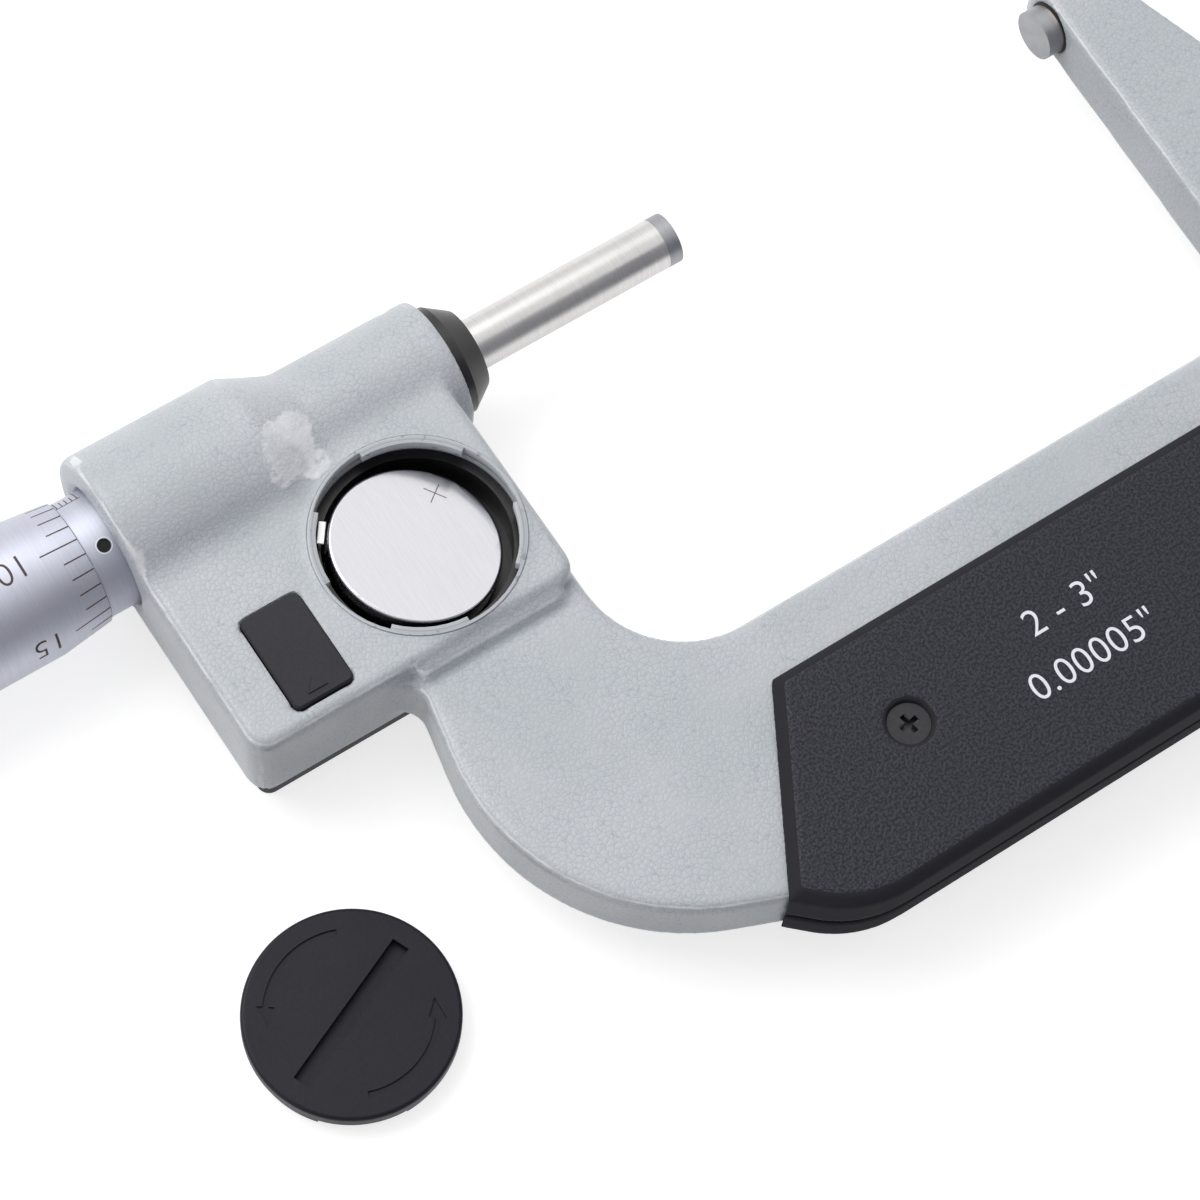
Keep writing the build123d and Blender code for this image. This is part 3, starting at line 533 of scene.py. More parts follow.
capBlack = grainyFinish("mouldedCharcoal", (30, 30, 39), (27, 27, 35), (0.38, 0.46), 0.08, 2600.0,
                        depth=0.01, specks=(330.0, 0.985), gleam=0.2)
portBlack = grainyFinish("portRubber", (40, 39, 45), (36, 35, 41), (0.50, 0.60), 0.12, 2600.0,
                         depth=0.015, specks=(520.0, 0.93), gleam=0.28)
holderBlack = grainyFinish("holderPlastic", (14, 14, 16), (11, 11, 13), (0.26, 0.36), 0.1, 2000.0)
paleChamfer = grainyFinish("paleChamfer", (244, 246, 252), (238, 240, 248), (0.5, 0.6), 0.05, 4000.0)
engraving = grainyFinish("darkEngraving", (84, 62, 58), (70, 54, 50), (0.6, 0.7), 0.1, 3000.0)
cellMarking = grainyFinish("etchedMark", (120, 116, 116), (110, 106, 106), (0.5, 0.6), 0.1, 3000.0)
whitePrint = grainyFinish("whitePrint", (232, 234, 242), (224, 226, 236), (0.5, 0.6), 0.1, 3000.0)
holeBlack = grainyFinish("deepHole", (10, 10, 11), (8, 8, 9), (0.6, 0.7), 0.1, 3000.0)
felt = grainyFinish("greyFelt", (80, 80, 82), (64, 64, 66), (0.85, 0.95), 0.6, 6000.0)
board = grainyFinish("greenBoard", (24, 84, 52), (20, 72, 44), (0.3, 0.4), 0.1, 2500.0)
lcdGrey = grainyFinish("displayGlassGrey", (158, 166, 148), (150, 158, 140), (0.12, 0.18), 0.05, 2500.0)
buttonGrey = grainyFinish("buttonRubber", (92, 96, 104), (86, 90, 98), (0.5, 0.6), 0.15, 2600.0)


bayLook = {"ring": (184, 187, 192), "turned": (172, 176, 181), "wallTop": (190, 193, 198),
           "wallDeepShade": (14, 14, 16), "fleck": (132, 134, 138), "rings": 6000.0, "groove": 11.85,
           "fleckShare": 0.7, "grooveShare": 0.6, "wallFrom": 4.7, "wallTo": 6.3}


def bayFinish(name, first, second, onWall):
    # machined ring, and the bare wall inside it, darker towards the bottom as painted shade down in the bay
    look = bayLook
    material, tree, shader = newFinish(name)
    place = objectPlace(tree)
    split = splitAxes(tree, place)
    across = [minus(tree, split[axis], bayMiddle[i] * mm) for i, axis in enumerate("XY")]
    squares = [times(tree, part, part) for part in across]
    radius = addMath(tree, "SQRT", addMath(tree, "ADD", *squares))
    rings = tree.nodes.new("ShaderNodeTexNoise")
    rings.noise_dimensions = "1D"
    turned = feed(tree, rings, W=radius, Scale=look["rings"]).outputs["Fac"]
    if onWall:
        # painted shade: the wall goes from wallTop at the lip to near black at the bottom
        factor = addRange(tree, split["Z"], look["wallFrom"] * mm, look["wallTo"] * mm, 1.0, 0.0)
    else:
        factor = addRange(tree, turned, 0.35, 0.65)
    base = mixColor(tree, factor, first, second)
    spots = addRange(tree, addNoise(tree, place, 900.0, 3.0)["Fac"], 0.62, 0.68)
    base = mixColor(tree, spots, base, look["fleck"], look["fleckShare"])
    if not onWall:
        off = offBy(tree, radius, look["groove"] * mm)
        groove = addRange(tree, off, 0.05 * mm, 0.16 * mm, 1.0, 0.0)
        base = mixColor(tree, groove, base, look["fleck"], look["grooveShare"])
    feed(tree, shader, Base_Color=base, Roughness=addRange(tree, turned, 0.3, 0.7, 0.32, 0.45))
    addBump(tree, shader, turned, 0.3, 0.02 * mm)
    return material


bayRingMetal = bayFinish("bayRing", bayLook["ring"], bayLook["turned"], False)
bayWall = bayFinish("bayWall", bayLook["wallTop"], bayLook["wallDeepShade"], True)


def glassFinish():
    material, tree, shader = newFinish("windowClear")
    broad = placeGroup(tree, grain, Scale=800.0)["Broad"]
    feed(tree, shader, Transmission_Weight=0.9, IOR=1.49,
         Roughness=addRange(tree, broad, 0.3, 0.7, 0.03, 0.08),
         Base_Color=mixColor(tree, broad, (236, 240, 240), (228, 234, 234)))
    return material


clear = glassFinish()
print("finishes made")


# geometry node trees

def newTree(name, inputs):
    kinds = {int: "NodeSocketInt", float: "NodeSocketFloat"}
    tree = bpy.data.node_groups.new(name, "GeometryNodeTree")
    tree.interface.new_socket("Geometry", in_out="INPUT", socket_type="NodeSocketGeometry")
    for label, value in inputs.items():
        kind = kinds.get(type(value), "NodeSocketMaterial")
        socket = tree.interface.new_socket(label, in_out="INPUT", socket_type=kind)
        if value is not None:
            socket.default_value = value
    tree.interface.new_socket("Geometry", in_out="OUTPUT", socket_type="NodeSocketGeometry")
    return tree, tree.nodes.new("NodeGroupInput").outputs, tree.nodes.new("NodeGroupOutput").inputs[0]


def addShape(tree, kind, **links):
    # a geometry node's main output
    return addNode(tree, kind, **links).outputs[0]


def numberedPoints(tree, count):
    points = addShape(tree, "GeometryNodePoints", Count=count)
    return points, tree.nodes.new("GeometryNodeInputIndex").outputs[0]


def paintOut(tree, shape, material, result):
    tree.links.new(addShape(tree, "GeometryNodeSetMaterial", Geometry=shape, Material=material), result)


def useTree(piece, tree, values):
    # a modifier's inputs go by socket identifier
    change = piece.modifiers.new(tree.name, "NODES")
    change.node_group = tree
    for item in tree.interface.items_tree:
        if item.item_type == "SOCKET" and item.in_out == "INPUT" and item.name in values:
            change[item.identifier] = values[item.name]


def geometryPiece(name, tree, values, material):
    piece = keepMesh(name, bpy.data.meshes.new(name), [material])
    useTree(piece, tree, {**values, "Material": material})
    return settle(piece)


def buildSoftShade():
    # welds a CAD node's loose triangles and smooths all but its sharp edges
    tree, given, result = newTree("softShade", {"Angle": 0.5})
    weld = addShape(tree, "GeometryNodeMergeByDistance", Geometry=given["Geometry"], Distance=cadGap)
    smooth = addShape(tree, "GeometryNodeSetShadeSmooth", Geometry=weld)
    bend = tree.nodes.new("GeometryNodeInputMeshEdgeAngle").outputs["Unsigned Angle"]
    mild = operate(tree, "FunctionNodeCompare", "LESS_EQUAL", (bend, given["Angle"]))["Result"]
    sharp = addNode(tree, "GeometryNodeSetShadeSmooth", Geometry=smooth, Shade_Smooth=mild)
    sharp.domain = "EDGE"
    tree.links.new(sharp.outputs[0], result)
    return tree


softShade = buildSoftShade()


def dressNode(node, material):
    piece = nodes[node]
    piece.data.materials.clear()
    piece.data.materials.append(material)
    useTree(piece, softShade, {"Angle": math.radians(28)})
    evenNormals(piece)


def outward(tree, angle):
    # turns a part that stands along Z to point out from the spindle
    return joinAxes(tree, X=minus(tree, angle, math.pi / 2))


def buildRingOfBars():
    # bars laid along a cone's slope, one at each division, every so many of them long
    tree, out, result = newTree("ringOfBars", {
        "Count": 25, "Long Every": 5, "First Angle": 0.0, "Start": 0.0, "Long": 0.005, "Short": 0.003,
        "Width": 0.0002, "Radius": 0.008, "Slope": 0.0, "Material": None})
    points, index = numberedPoints(tree, out["Count"])
    turn = addMath(tree, "DIVIDE", index, out["Count"])
    spin = outward(tree, addMath(tree, "MULTIPLY_ADD", turn, math.tau, out["First Angle"]))
    isLong = addMath(tree, "LESS_THAN", addMath(tree, "MODULO", index, out["Long Every"]), 0.5)
    isShort = minus(tree, 1.0, isLong)
    sunk = times(tree, out["Width"], -0.47)
    where = joinAxes(tree, X=out["Start"], Z=out["Radius"])
    lean = joinAxes(tree, Y=out["Slope"])
    both = tree.nodes.new("GeometryNodeJoinGeometry")
    for length, chosen in ((out["Long"], isLong), (out["Short"], isShort)):
        size = joinAxes(tree, X=length, Y=out["Width"], Z=out["Width"])
        slide = joinAxes(tree, X=times(tree, length, -0.5), Z=sunk)
        bar = addShape(tree, "GeometryNodeMeshCube", Size=size)
        bar = addShape(tree, "GeometryNodeTransform", Geometry=bar, Translation=slide)
        bar = addShape(tree, "GeometryNodeTransform", Geometry=bar, Translation=where, Rotation=lean)
        branch = addShape(tree, "GeometryNodeInstanceOnPoints", Points=points, Selection=chosen,
                          Instance=bar, Rotation=spin)
        tree.links.new(branch, both.inputs[0])
    real = addShape(tree, "GeometryNodeRealizeInstances", Geometry=both.outputs[0])
    paintOut(tree, real, out["Material"], result)
    return tree


def buildKnurl():
    # rows of small pyramids round a cylinder, each row half a step on from the last
    tree, out, result = newTree("knurlBand", {
        "Around": 60, "Rows": 12, "Left": 0.0, "Right": 0.0, "Radius": 0.006, "Tooth": 0.0004,
        "Height": 0.0003, "Material": None})
    points, index = numberedPoints(tree, times(tree, out["Around"], out["Rows"]))
    row = addMath(tree, "FLOOR", addMath(tree, "DIVIDE", index, out["Around"]))
    halfStep = times(tree, addMath(tree, "MODULO", row, 2.0), 0.5)
    along = addMath(tree, "ADD", index, halfStep)
    angle = times(tree, addMath(tree, "DIVIDE", along, out["Around"]), math.tau)
    share = addMath(tree, "DIVIDE", row, minus(tree, out["Rows"], 1.0))
    span = minus(tree, out["Right"], out["Left"])
    place = joinAxes(tree, X=addMath(tree, "MULTIPLY_ADD", span, share, out["Left"]),
                     Y=times(tree, addMath(tree, "COSINE", angle), out["Radius"]),
                     Z=times(tree, addMath(tree, "SINE", angle), out["Radius"]))
    moved = addShape(tree, "GeometryNodeSetPosition", Geometry=points, Position=place)
    tooth = addShape(tree, "GeometryNodeMeshCone", Vertices=4, Radius_Top=0.06 * mm,
                     Radius_Bottom=out["Tooth"], Depth=out["Height"])
    teeth = addShape(tree, "GeometryNodeInstanceOnPoints", Points=moved, Instance=tooth,
                     Rotation=outward(tree, angle))
    real = addShape(tree, "GeometryNodeRealizeInstances", Geometry=teeth)
    paintOut(tree, real, out["Material"], result)
    return tree


def buildScaleTicks():
    # ticks across a line along the sleeve, every fourth one long
    tree, out, result = newTree("scaleTicks", {
        "Count": 40, "Step": 0.000635, "Start": 0.0, "Angle": 0.0, "Long": 0.003, "Short": 0.0018,
        "Width": 0.00012, "Radius": 0.0072, "Material": None})
    points, index = numberedPoints(tree, out["Count"])
    back = times(tree, times(tree, index, out["Step"]), -1.0)
    place = joinAxes(tree, X=addMath(tree, "ADD", back, out["Start"]))
    moved = addShape(tree, "GeometryNodeSetPosition", Geometry=points, Position=place)
    tick = addShape(tree, "GeometryNodeMeshCylinder", Vertices=180, Depth=out["Width"],
                    Radius=addMath(tree, "ADD", out["Radius"], 0.006 * mm))
    laid = addShape(tree, "GeometryNodeTransform", Geometry=tick, Rotation=(0, math.pi / 2, 0))
    rings = addShape(tree, "GeometryNodeInstanceOnPoints", Points=moved, Instance=laid)
    real = addShape(tree, "GeometryNodeRealizeInstances", Geometry=rings)
    # keep only the arc that each tick covers
    split = splitAxes(tree, tree.nodes.new("GeometryNodeInputPosition").outputs[0])
    off = minus(tree, addMath(tree, "ARCTAN2", split["Z"], split["Y"]), out["Angle"])
    behind = minus(tree, out["Start"], split["X"])
    number = addMath(tree, "ROUND", addMath(tree, "DIVIDE", behind, out["Step"]))
    isLong = addMath(tree, "LESS_THAN", addMath(tree, "MODULO", number, 4.0), 0.5)
    reach = minus(tree, out["Long"], out["Short"])
    length = addMath(tree, "MULTIPLY_ADD", isLong, reach, out["Short"])
    arc = addMath(tree, "DIVIDE", length, out["Radius"])
    outside = addMath(tree, "MAXIMUM", addMath(tree, "GREATER_THAN", off, 0.0),
                      addMath(tree, "LESS_THAN", off, times(tree, arc, -1.0)))
    kept = addNode(tree, "GeometryNodeDeleteGeometry", Geometry=real, Selection=outside)
    kept.domain = "FACE"
    paintOut(tree, kept.outputs[0], out["Material"], result)
    return tree


ringOfBars, knurlBand, scaleTicks = buildRingOfBars(), buildKnurl(), buildScaleTicks()
print("node trees made")


# cast frame: the CAD shape with softened edges, and its machined bay ring kept crisp

castSizes = {"voxel": 0.52, "smooth": 2, "ringRadius": 12.45, "ringLow": 5.2, "plugTop": 9.0,
             "ringBevel": 0.12, "topFrom": 6.9, "wallWithin": 12.2}


def bayPlug(work):
    s = castSizes
    radius = s["ringRadius"] * mm
    move = moveBy(*bayMiddle, (s["ringLow"] + s["plugTop"]) / 2)
    bmesh.ops.create_cone(work, cap_ends=True, segments=192, radius1=radius, radius2=radius,
                          depth=(s["plugTop"] - s["ringLow"]) * mm, matrix=move)


def paintRing(mesh):
    # slot 1 on the ring's top, slot 2 on the wall and the notches inside it
    x, y = bayMiddle
    for face in mesh.polygons:
        reach = math.hypot(face.center.x / mm - x, face.center.y / mm - y)
        if face.normal.z > 0.7 and face.center.z > castSizes["topFrom"] * mm:
            face.material_index = 1
        elif reach < castSizes["wallWithin"]:
            face.material_index = 2


def castFrame():
    body = keepMesh("castBody", mergedCopy("frame"), [enamel])
    remesh(body, castSizes)
    combine(body, cutter("bayPlug", bayPlug), "DIFFERENCE")
    ring = keepMesh("bayRing", mergedCopy("frame"), [enamel])
    combine(ring, cutter("bayPlug", bayPlug), "INTERSECT")
    roundEdges(ring, castSizes["ringBevel"], 2, 40)
    paintRing(ring.data)
    for part in (body, ring):
        softEdges(part.data, 40)
    piece = joined("frameCasting", [body, ring])
    for material in (bayRingMetal, bayWall):
        piece.data.materials.append(material)
    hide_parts("frame")
    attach(piece, "frame")
    print("frame casting", len(piece.data.polygons))


castFrame()


# thimble, its graduations and numbers

thimbleSizes = {"front": -134.4, "back": -173.0, "lip": 7.52, "full": 8.3, "cone": 6.4, "inner": 7.3,
                "bore": 2.91, "wallFront": -169.5, "knurlFrom": -152.0, "knurlTo": -168.5, "teeth": 76,
                "rows": 47, "tooth": 0.40, "lineWidth": 0.16, "long": 4.75, "short": 2.8,
                "lineStart": 0.1, "angleOfSeven": 52.0, "divisions": 25, "numberHeight": 3.0,
                "numberStart": 6.1, "numberTurn": -0.6, "numberLift": 0.004, "numberThick": 0.02,
                "numberThin": -0.05}


def coneRadius(x):
    s = thimbleSizes
    return s["lip"] + (s["full"] - s["lip"]) * min(1.0, (s["front"] - x) / s["cone"])


def divisionAngle(number):
    return thimbleSizes["angleOfSeven"] + (number - 7) * 360 / thimbleSizes["divisions"]


def wrapNumber(number):
    # lettering that reads along the axis, away from the frame
    s = thimbleSizes
    angle = divisionAngle(number) + s["numberTurn"]
    height = s["numberHeight"] * mm
    step = 0.25 * mm
    work = bmesh.new()
    work.from_mesh(textMesh(str(number), height, s["numberThick"] * mm, s["numberThin"] * mm))
    for i in range(-2, int(height / step) + 3):
        bmesh.ops.bisect_plane(work, geom=[*work.verts, *work.edges, *work.faces],
                               plane_co=(0, i * step, 0), plane_no=(0, 1, 0))
    for vert in work.verts:
        x = (s["front"] - s["numberStart"]) * mm - vert.co.x
        radius = (coneRadius(x / mm) + s["numberLift"]) * mm + vert.co.z
        turn = math.degrees((vert.co.y - height / 2) / radius)
        vert.co = around(angle + turn, radius, x)
    return keepWork("number", work, engraving)


def makeGrip(name, s, radius):
    return geometryPiece(name, knurlBand, {
        "Around": s["teeth"], "Rows": s["rows"], "Left": s["knurlTo"] * mm, "Right": s["knurlFrom"] * mm,
        "Radius": (radius - 0.19) * mm, "Tooth": s["tooth"] * mm, "Height": 0.3 * mm}, satinChrome)


def makeThimble():
    s = thimbleSizes
    front, back, lip, full, inner = (s[key] for key in ("front", "back", "lip", "full", "inner"))
    profile = [(front, inner), (front, lip - 0.12), (front - 0.12, lip), (front - s["cone"], full),
               (s["knurlFrom"] + 1.2, full), (s["knurlFrom"] + 0.9, full - 0.3),
               (s["knurlTo"] - 0.9, full - 0.3), (s["knurlTo"] - 1.2, full), (back + 0.5, full),
               (back, full - 0.5), (back, s["bore"]), (s["wallFront"], s["bore"]), (s["wallFront"], inner)]
    body = lathe("thimbleBody", profile, satinChrome, 192)
    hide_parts("thimble")
    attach(body, "spindle")
    grip = makeGrip("thimbleKnurl", s, full)
    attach(grip, "spindle")
    start = front - s["lineStart"]
    lines = geometryPiece("thimbleLines", ringOfBars, {
        "Count": s["divisions"], "Long Every": 5, "First Angle": math.radians(divisionAngle(0)),
        "Start": start * mm, "Long": s["long"] * mm, "Short": s["short"] * mm,
        "Width": s["lineWidth"] * mm, "Radius": coneRadius(start) * mm,
        "Slope": math.atan((full - lip) / s["cone"])}, engraving)
    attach(lines, "spindle")
    piece = joined("thimbleNumbers", [wrapNumber(number) for number in range(0, s["divisions"], 5)])
    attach(piece, "spindle")


makeThimble()


# sleeve with its line, ticks and spanner hole

sleeveSizes = {"radius": 7.2, "lineFrom": -131.3, "lineTo": -158.0, "angle": 52.0, "tickStart": -131.6,
               "pitch": 0.635, "ticks": 41, "long": 2.4, "short": 1.5, "width": 0.13, "holeX": -132.2,
               "holeAngle": 111.0, "holeRadius": 0.8, "rim": 0.17, "holeDeep": 0.25}


def spannerHole():
    # pale chamfer round the spanner hole, slot 0, and the dark hole itself, slot 1: a black floor a little
    # under the surface, painted shade for the depth of the hole
    s = sleeveSizes
    hole = s["holeRadius"]
    rims = [(hole + s["rim"], 0.012), (hole + 0.06, 0.02), (hole, -s["holeDeep"]), (0.0, -s["holeDeep"])]
    count = 48
    work = bmesh.new()
    loops = []
    for radius, lift in rims:
        loop = []
        for step in range(count):
            a = math.tau * step / count
            x = s["holeX"] + radius * math.sin(a)
            turn = math.degrees(radius * math.cos(a) / s["radius"])
            loop.append(work.verts.new(around(s["holeAngle"] + turn, (s["radius"] + lift) * mm, x * mm)))
        loops.append(loop)
    for ring, (outer, inner) in enumerate(zip(loops, loops[1:])):
        for face in bridge(work, outer, inner):
            face.material_index = 0 if ring == 0 else 1
    closeUp(work)
    return keepWork("spannerHole", work, paleChamfer, holeBlack)


def makeSleeve():
    s = sleeveSizes
    dressNode("outer_sleeve", satinChrome)
    shared = {"Width": s["width"] * mm, "Radius": s["radius"] * mm}
    line = geometryPiece("sleeveLine", ringOfBars, {
        "Count": 1, "Long Every": 1, "First Angle": math.radians(s["angle"]), "Start": s["lineFrom"] * mm,
        "Long": (s["lineFrom"] - s["lineTo"]) * mm, **shared}, engraving)
    ticks = geometryPiece("sleeveTicks", scaleTicks, {
        "Count": s["ticks"], "Step": s["pitch"] * mm, "Start": s["tickStart"] * mm,
        "Angle": math.radians(s["angle"]), "Long": s["long"] * mm, "Short": s["short"] * mm,
        **shared}, engraving)
    for piece in (line, ticks):
        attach(piece, "frame")
    piece = spannerHole()
    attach(piece, "frame")


makeSleeve()
print("thimble and sleeve made")


# ratchet knob

knobSizes = {"radius": 6.2, "cavity": 5.3, "recess": 3.9, "bore": 2.43, "shelf": -180.0, "floor": -183.9,
             "knurlFrom": -176.0, "knurlTo": -187.0, "teeth": 58, "rows": 31, "tooth": 0.38}


def makeKnob():
    s = knobSizes
    low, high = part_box("ratchet_knob")
    back, front, radius = low.x / mm, high.x / mm, s["radius"]
    profile = [(front, s["cavity"]), (front, radius - 0.6), (front - 0.5, radius),
               (s["knurlFrom"] + 0.8, radius), (s["knurlFrom"] + 0.5, radius - 0.3),
               (s["knurlTo"] - 0.5, radius - 0.3), (s["knurlTo"] - 0.8, radius), (back + 0.8, radius),
               (back, radius - 0.8), (back, s["recess"]), (s["floor"], s["recess"]),
               (s["floor"], s["bore"]), (s["shelf"], s["bore"]), (s["shelf"], s["cavity"])]
    body = lathe("ratchetKnobBody", profile, satinChrome, 128)
    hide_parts("ratchet_knob")
    grip = makeGrip("ratchetKnurl", s, radius)
    for piece in (body, grip):
        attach(piece, "ratchet")


makeKnob()


# print on the back plate

printSizes = {"height": 3.4, "first": ("2 - 3\"", -44.9, -65.0), "second": ("0.00005\"", -45.75, -71.65),
              "face": 6.2, "thick": 0.02, "spacing": 1.04, "thin": -0.03}


def makePrint():
    s = printSizes
    rows = []
    for words, x, y in (s["first"], s["second"]):
        mesh = textMesh(words, s["height"] * mm, s["thick"] * mm, s["thin"] * mm, s["spacing"])
        xs = [v.co.x for v in mesh.vertices]
        ys = [v.co.y for v in mesh.vertices]
        move = Vector((x * mm - (min(xs) + max(xs)) / 2, y * mm - (min(ys) + max(ys)) / 2,
                       (s["face"] + s["thick"] / 2) * mm))
        mesh.transform(Matrix.Translation(move))
        rows.append(keepMesh("row", mesh, [whitePrint]))
    piece = joined("platePrint", rows)
    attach(piece, "frame")


makePrint()


# plus sign on the cell, as two thin bars

cellSizes = {"tilt": 11.0, "at": (-102.2, -19.85, 4.55), "plus": 2.8, "line": 0.13, "plusAt": (5.64, 4.67),
             "turn": 37.0}


def makeCellMark():
    s = cellSizes
    place = moveBy(*s["at"]) @ turnBy(s["tilt"], "Y") @ moveBy(*s["plusAt"], 0) @ turnBy(s["turn"])
    work = bmesh.new()
    # one bar is a little thicker, so that their tops don't fight
    addBox(work, (s["plus"], s["line"], 0.012), place)
    addBox(work, (s["line"], s["plus"], 0.014), place)
    piece = keepWork("cellPlus", work, cellMarking)
    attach(piece, "frame")


makeCellMark()


# folded end of the plus contact, beside the cell

foldSizes = {"angle": 143.0, "inner": 10.38, "outer": 11.25, "wide": 2.8, "low": 5.1, "high": 5.36,
             "bevel": 0.1}


def makeFold():
    s = foldSizes
    reach, rise = s["outer"] - s["inner"], s["high"] - s["low"]
    middle = moveBy(s["inner"] + reach / 2, 0, s["low"] + rise / 2)
    work = bmesh.new()
    addBox(work, (reach, s["wide"], rise), moveBy(*bayMiddle, 0) @ turnBy(s["angle"]) @ middle)
    piece = keepWork("contactFold", work, tabShine)
    roundEdges(piece, s["bevel"], 3)
    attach(piece, "frame")


makeFold()


# moulded grip plates with rounded edges

plateSizes = {"voxel": 0.4, "smooth": 4}


def makePlate(node, name):
    piece = keepMesh(name, mergedCopy(node), [plateBlack])
    remesh(piece, plateSizes)
    softEdges(piece.data, 50)
    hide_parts(node)
    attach(piece, "frame")
    print(name, len(piece.data.polygons), "faces")


makePlate("back_plate", "backGrip")
makePlate("front_plate", "frontGrip")


# dark seam ring where the anvil is pressed into the arm

seamSizes = {"from": 2.2, "to": 3.2, "inner": 3.19, "outer": 3.42}


def makeSeam():
    s = seamSizes
    profile = [(s["from"], s["inner"]), (s["to"], s["inner"]), (s["to"], s["outer"]),
               (s["from"] + 0.1, s["outer"])]
    piece = lathe("anvilSeam", profile, holeBlack, 96)
    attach(piece, "frame")


makeSeam()


# plate screws: sunk heads with a cross recess

screwSizes = {"x": (-67.94, -20.95), "y": -67.4, "top": 5.5, "arm": 1.2, "slot": 0.6, "deep": 1.1,
              "turn": 9.0, "rim": 0.13}


def slabTool(work, side):
    # what stands above the height that the heads are sunk to
    s = screwSizes
    addBox(work, (70, 12, 2), moveBy(-45, s["y"], side * (s["top"] + 1)))


def crossTool(work, side, x, quarter):
    s = screwSizes
    tall = s["deep"] + 2.0
    middle = moveBy(x, s["y"], side * (s["top"] - s["deep"] + tall / 2))
    addBox(work, (2 * s["arm"], s["slot"], tall), middle @ turnBy(s["turn"] * side + quarter))


def makeScrews(node, name, side):
    piece = keepMesh(name, mergedCopy(node), [screwBlack])
    combine(piece, cutter("slab", lambda work: slabTool(work, side)), "DIFFERENCE")
    roundEdges(piece, screwSizes["rim"], 2, 60)
    for x in screwSizes["x"]:
        for quarter in (0, 90):
            tool = cutter("cross", lambda work: crossTool(work, side, x, quarter))
            combine(piece, tool, "DIFFERENCE")
    softEdges(piece.data, 30)
    evenNormals(piece)
    settle(piece)
    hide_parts(node)
    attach(piece, "frame")


makeScrews("back_plate_screws", "backScrews", 1)
makeScrews("front_plate_screws", "frontScrews", -1)
print("contact fold and plate screws made")


# battery cap with its two engraved turning arrows

capSizes = {"at": (-135.2, -59.15), "top": -7.9, "arrowRadius": 9.45, "line": 0.7, "deep": 0.25,
            "sweep": 76.0, "starts": (68.0, -111.0), "headLong": 2.3, "headWide": 1.0, "steps": 20}


def capPoint(degrees, radius, z):
    a = math.radians(degrees)
    x, y = capSizes["at"]
    return (x + radius * math.cos(a), y + radius * math.sin(a), z)


def arrowLevels():
    return capSizes["top"] - capSizes["deep"], capSizes["top"] + 0.5


def curvedArrow(work, start):
    s = capSizes
    low, high = arrowLevels()
    inner, outer = s["arrowRadius"] - s["line"] / 2, s["arrowRadius"] + s["line"] / 2
    corners = ((inner, low), (inner, high), (outer, high), (outer, low))
    loops = []
    for step in range(s["steps"] + 1):
        degrees = start + s["sweep"] * step / s["steps"]
        loops.append(addLoop(work, [capPoint(degrees, radius, z) for radius, z in corners]))
    for here, there in zip(loops, loops[1:]):
        bridge(work, here, there)
    work.faces.new(loops[0])
    work.faces.new(list(reversed(loops[-1])))


def arrowHead(work, start):
    s = capSizes
    end = start + s["sweep"]
    tip = end + math.degrees(s["headLong"] / s["arrowRadius"])
    shape = ((end - 0.5, s["headWide"]), (tip, 0.2), (end - 0.5, -s["headWide"]))
    addPrism(work, *([capPoint(degrees, s["arrowRadius"] - out, z) for degrees, out in shape]
                     for z in arrowLevels()))


def makeCap():
    piece = keepMesh("capBody", mergedCopy("battery_cap"), [capBlack])
    for start in capSizes["starts"]:
        combine(piece, cutter("arrow", lambda work: curvedArrow(work, start)), "DIFFERENCE")
        combine(piece, cutter("arrowHead", lambda work: arrowHead(work, start)), "DIFFERENCE")
    softEdges(piece.data, 30)
    evenNormals(piece)
    settle(piece)
    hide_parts("battery_cap")
    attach(piece, "frame")


makeCap()


# raised triangle on the port plug

plugSizes = {"at": (-121.3, -30.05), "base": 2.7, "tall": 1.75, "rise": 0.16, "face": 7.25, "slope": 0.1}


def makePlugMark():
    s = plugSizes
    x, y = s["at"]
    loops = []
    for z, inset in ((s["face"] - 0.05, 0.0), (s["face"] + s["rise"], s["slope"])):
        half = s["base"] / 2 - inset * 1.8
        top = y + s["tall"] - inset * 2
        loops.append([(x - half, y + inset, z), (x + half, y + inset, z), (x, top, z)])
    work = bmesh.new()
    addPrism(work, *loops)
    piece = keepWork("plugTriangle", work, portBlack)
    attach(piece, "port_plug")


makePlugMark()


# finishes of the CAD pieces that show as they are

nodeFinish = {
    anvilSteel: ["anvil"],
    groundSteel: ["spindle", "sleeve_stem", "adjusting_nut", "spindle_bush", "ratchet_driver",
                  "ratchet_screw", "ratchet_pawl", "ratchet_spring", "rotor_key", "cover_screws"],
    carbideGrey: ["anvil_tip", "spindle_tip"],
    bronze: ["spindle_nut", "rotor_bush", "rotor_hub", "lock_pad"],
    collarBlack: ["nose_collar", "clamp_lever"],
    felt: ["nose_wiper"],
    board: ["encoder_rotor", "encoder_stator", "main_board", "port_board"],
    holderBlack: ["battery_holder", "stator_spacer", "data_connector", "port_header"],
    capBlack: ["front_cover"],
    portBlack: ["port_plug", "cover_gasket", "button_pad", "cap_seal"],
    clear: ["display_window"],
    lcdGrey: ["lcd"],
    buttonGrey: ["button_1", "button_2", "button_3"],
    cellShine: ["coin_cell"],
    tabShine: ["contact_plus", "contact_minus"],
}
for material, names in nodeFinish.items():
    for node in names:
        dressNode(node, material)
print("finishes placed")


# floor, light and camera: the floor's half width, the aim and the lamps are in metres

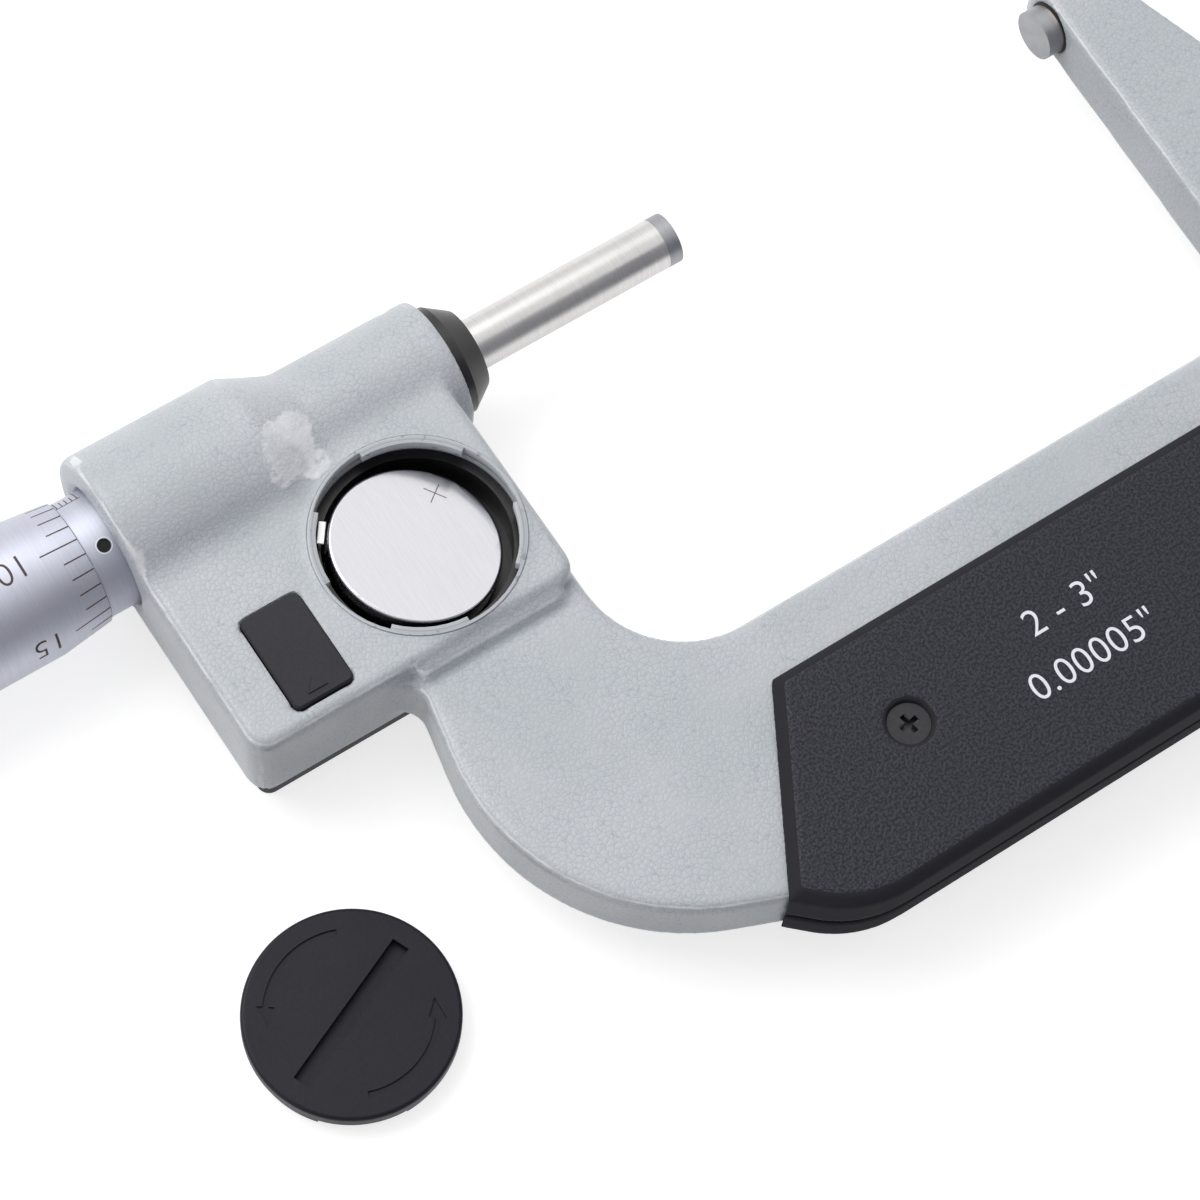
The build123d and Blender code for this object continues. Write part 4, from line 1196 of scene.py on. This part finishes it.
stageSizes = {"floorZ": -11.53, "floorHalf": 3.0, "lens": 112.6, "cameraAt": (-204.07, -166.71, 386.25),
              "right": (0.83166, -0.55162, 0.06379), "forward": (0.27562, 0.31034, -0.90979),
              "floorGlow": 0.70, "skyFill": 0.70, "skySeen": 0.30, "lightAim": (-0.085, -0.035, 0)}
lampLook = {"keySoftbox": {"at": (-0.50, 0.60, 0.95), "size": 0.75, "power": 6.2},
            "topSoftbox": {"at": (-0.10, 0.45, 0.95), "size": 0.7, "power": 1.7}}


def sheetMesh(name, corners):
    mesh = bpy.data.meshes.new(name)
    mesh.from_pydata(corners, [], [(0, 1, 2, 3)])
    return mesh


def sheetFinish(name, scale, first, second):
    material, tree, shader = newFinish(name)
    height = placeGroup(tree, grain, Scale=scale)["Height"]
    feed(tree, shader, Base_Color=mixColor(tree, height, first, second), Roughness=0.9)
    return material, tree, shader


def seenDirectly(tree):
    # 1 to the camera, in reflections and through glass, and 0 for diffuse light
    rays = tree.nodes.new("ShaderNodeLightPath").outputs
    bounced = addMath(tree, "MAXIMUM", rays["Is Glossy Ray"], rays["Is Transmission Ray"])
    return addMath(tree, "MAXIMUM", rays["Is Camera Ray"], bounced)


def floorFinish():
    material, tree, shader = sheetFinish("paleFloor", 60.0, (190, 190, 190), (187, 187, 187))
    strength = times(tree, seenDirectly(tree), stageSizes["floorGlow"])
    glow = addNode(tree, "ShaderNodeEmission", Color=(1, 1, 1, 1), Strength=strength)
    both = plugAll(tree, tree.nodes.new("ShaderNodeAddShader"), shader.outputs[0], glow.outputs[0])[0]
    # from below the floor is clear, so the display side can be looked at
    below = tree.nodes.new("ShaderNodeNewGeometry").outputs["Backfacing"]
    nothing = tree.nodes.new("ShaderNodeBsdfTransparent").outputs[0]
    oneSided = plugAll(tree, tree.nodes.new("ShaderNodeMixShader"), below, both, nothing)[0]
    feed(tree, tree.nodes["Material Output"], Surface=oneSided)
    return material


def makeStage():
    s = stageSizes
    half, z = s["floorHalf"], s["floorZ"] * mm
    mesh = sheetMesh("floor", [(-half, -half, z), (half, -half, z), (half, half, z), (-half, half, z)])
    keepMesh("floor", mesh, [floorFinish()])
    world = bpy.data.worlds.new("studio")
    bpy.context.scene.world = world
    world.use_nodes = True
    tree = world.node_tree
    strength = addMath(tree, "MULTIPLY_ADD", seenDirectly(tree), s["skySeen"], s["skyFill"])
    feed(tree, tree.nodes["Background"], Color=(1, 1, 1, 1), Strength=strength)


def areaLight(name, look):
    light = bpy.data.lights.new(name, "AREA")
    light.shape = "SQUARE"
    light.size = look["size"]
    light.energy = look["power"]
    lamp = addObject(name, light)
    lamp.location = look["at"]
    aim = Vector(stageSizes["lightAim"]) - Vector(look["at"])
    lamp.rotation_euler = aim.to_track_quat("-Z", "Y").to_euler()


def makeCamera():
    s = stageSizes
    right, forward = Vector(s["right"]).normalized(), Vector(s["forward"]).normalized()
    turn = Matrix((right, right.cross(forward), -forward)).transposed().to_4x4()
    camera = bpy.data.cameras.new("camera")
    camera.lens = s["lens"]
    camera.sensor_width = 36
    camera.clip_start = 0.01
    camera.clip_end = 20
    holder = addObject("camera", camera)
    holder.matrix_world = moveBy(*s["cameraAt"]) @ turn
    bpy.context.scene.camera = holder


def darkCard():
    # dark board behind the camera, so that round metal shades towards it
    mesh = sheetMesh("darkCard", [(-0.9, -0.34, -0.01), (0.6, -0.34, -0.01), (0.6, -0.28, 0.46),
                                  (-0.9, -0.28, 0.46)])
    material = sheetFinish("cardGrey", 40.0, (160, 160, 166), (154, 154, 160))[0]
    card = keepMesh("darkCard", mesh, [material])
    card.visible_camera = False


makeStage()
darkCard()
for name, look in lampLook.items():
    areaLight(name, look)
makeCamera()
bpy.context.scene.view_settings.view_transform = "Standard"
print("stage set")
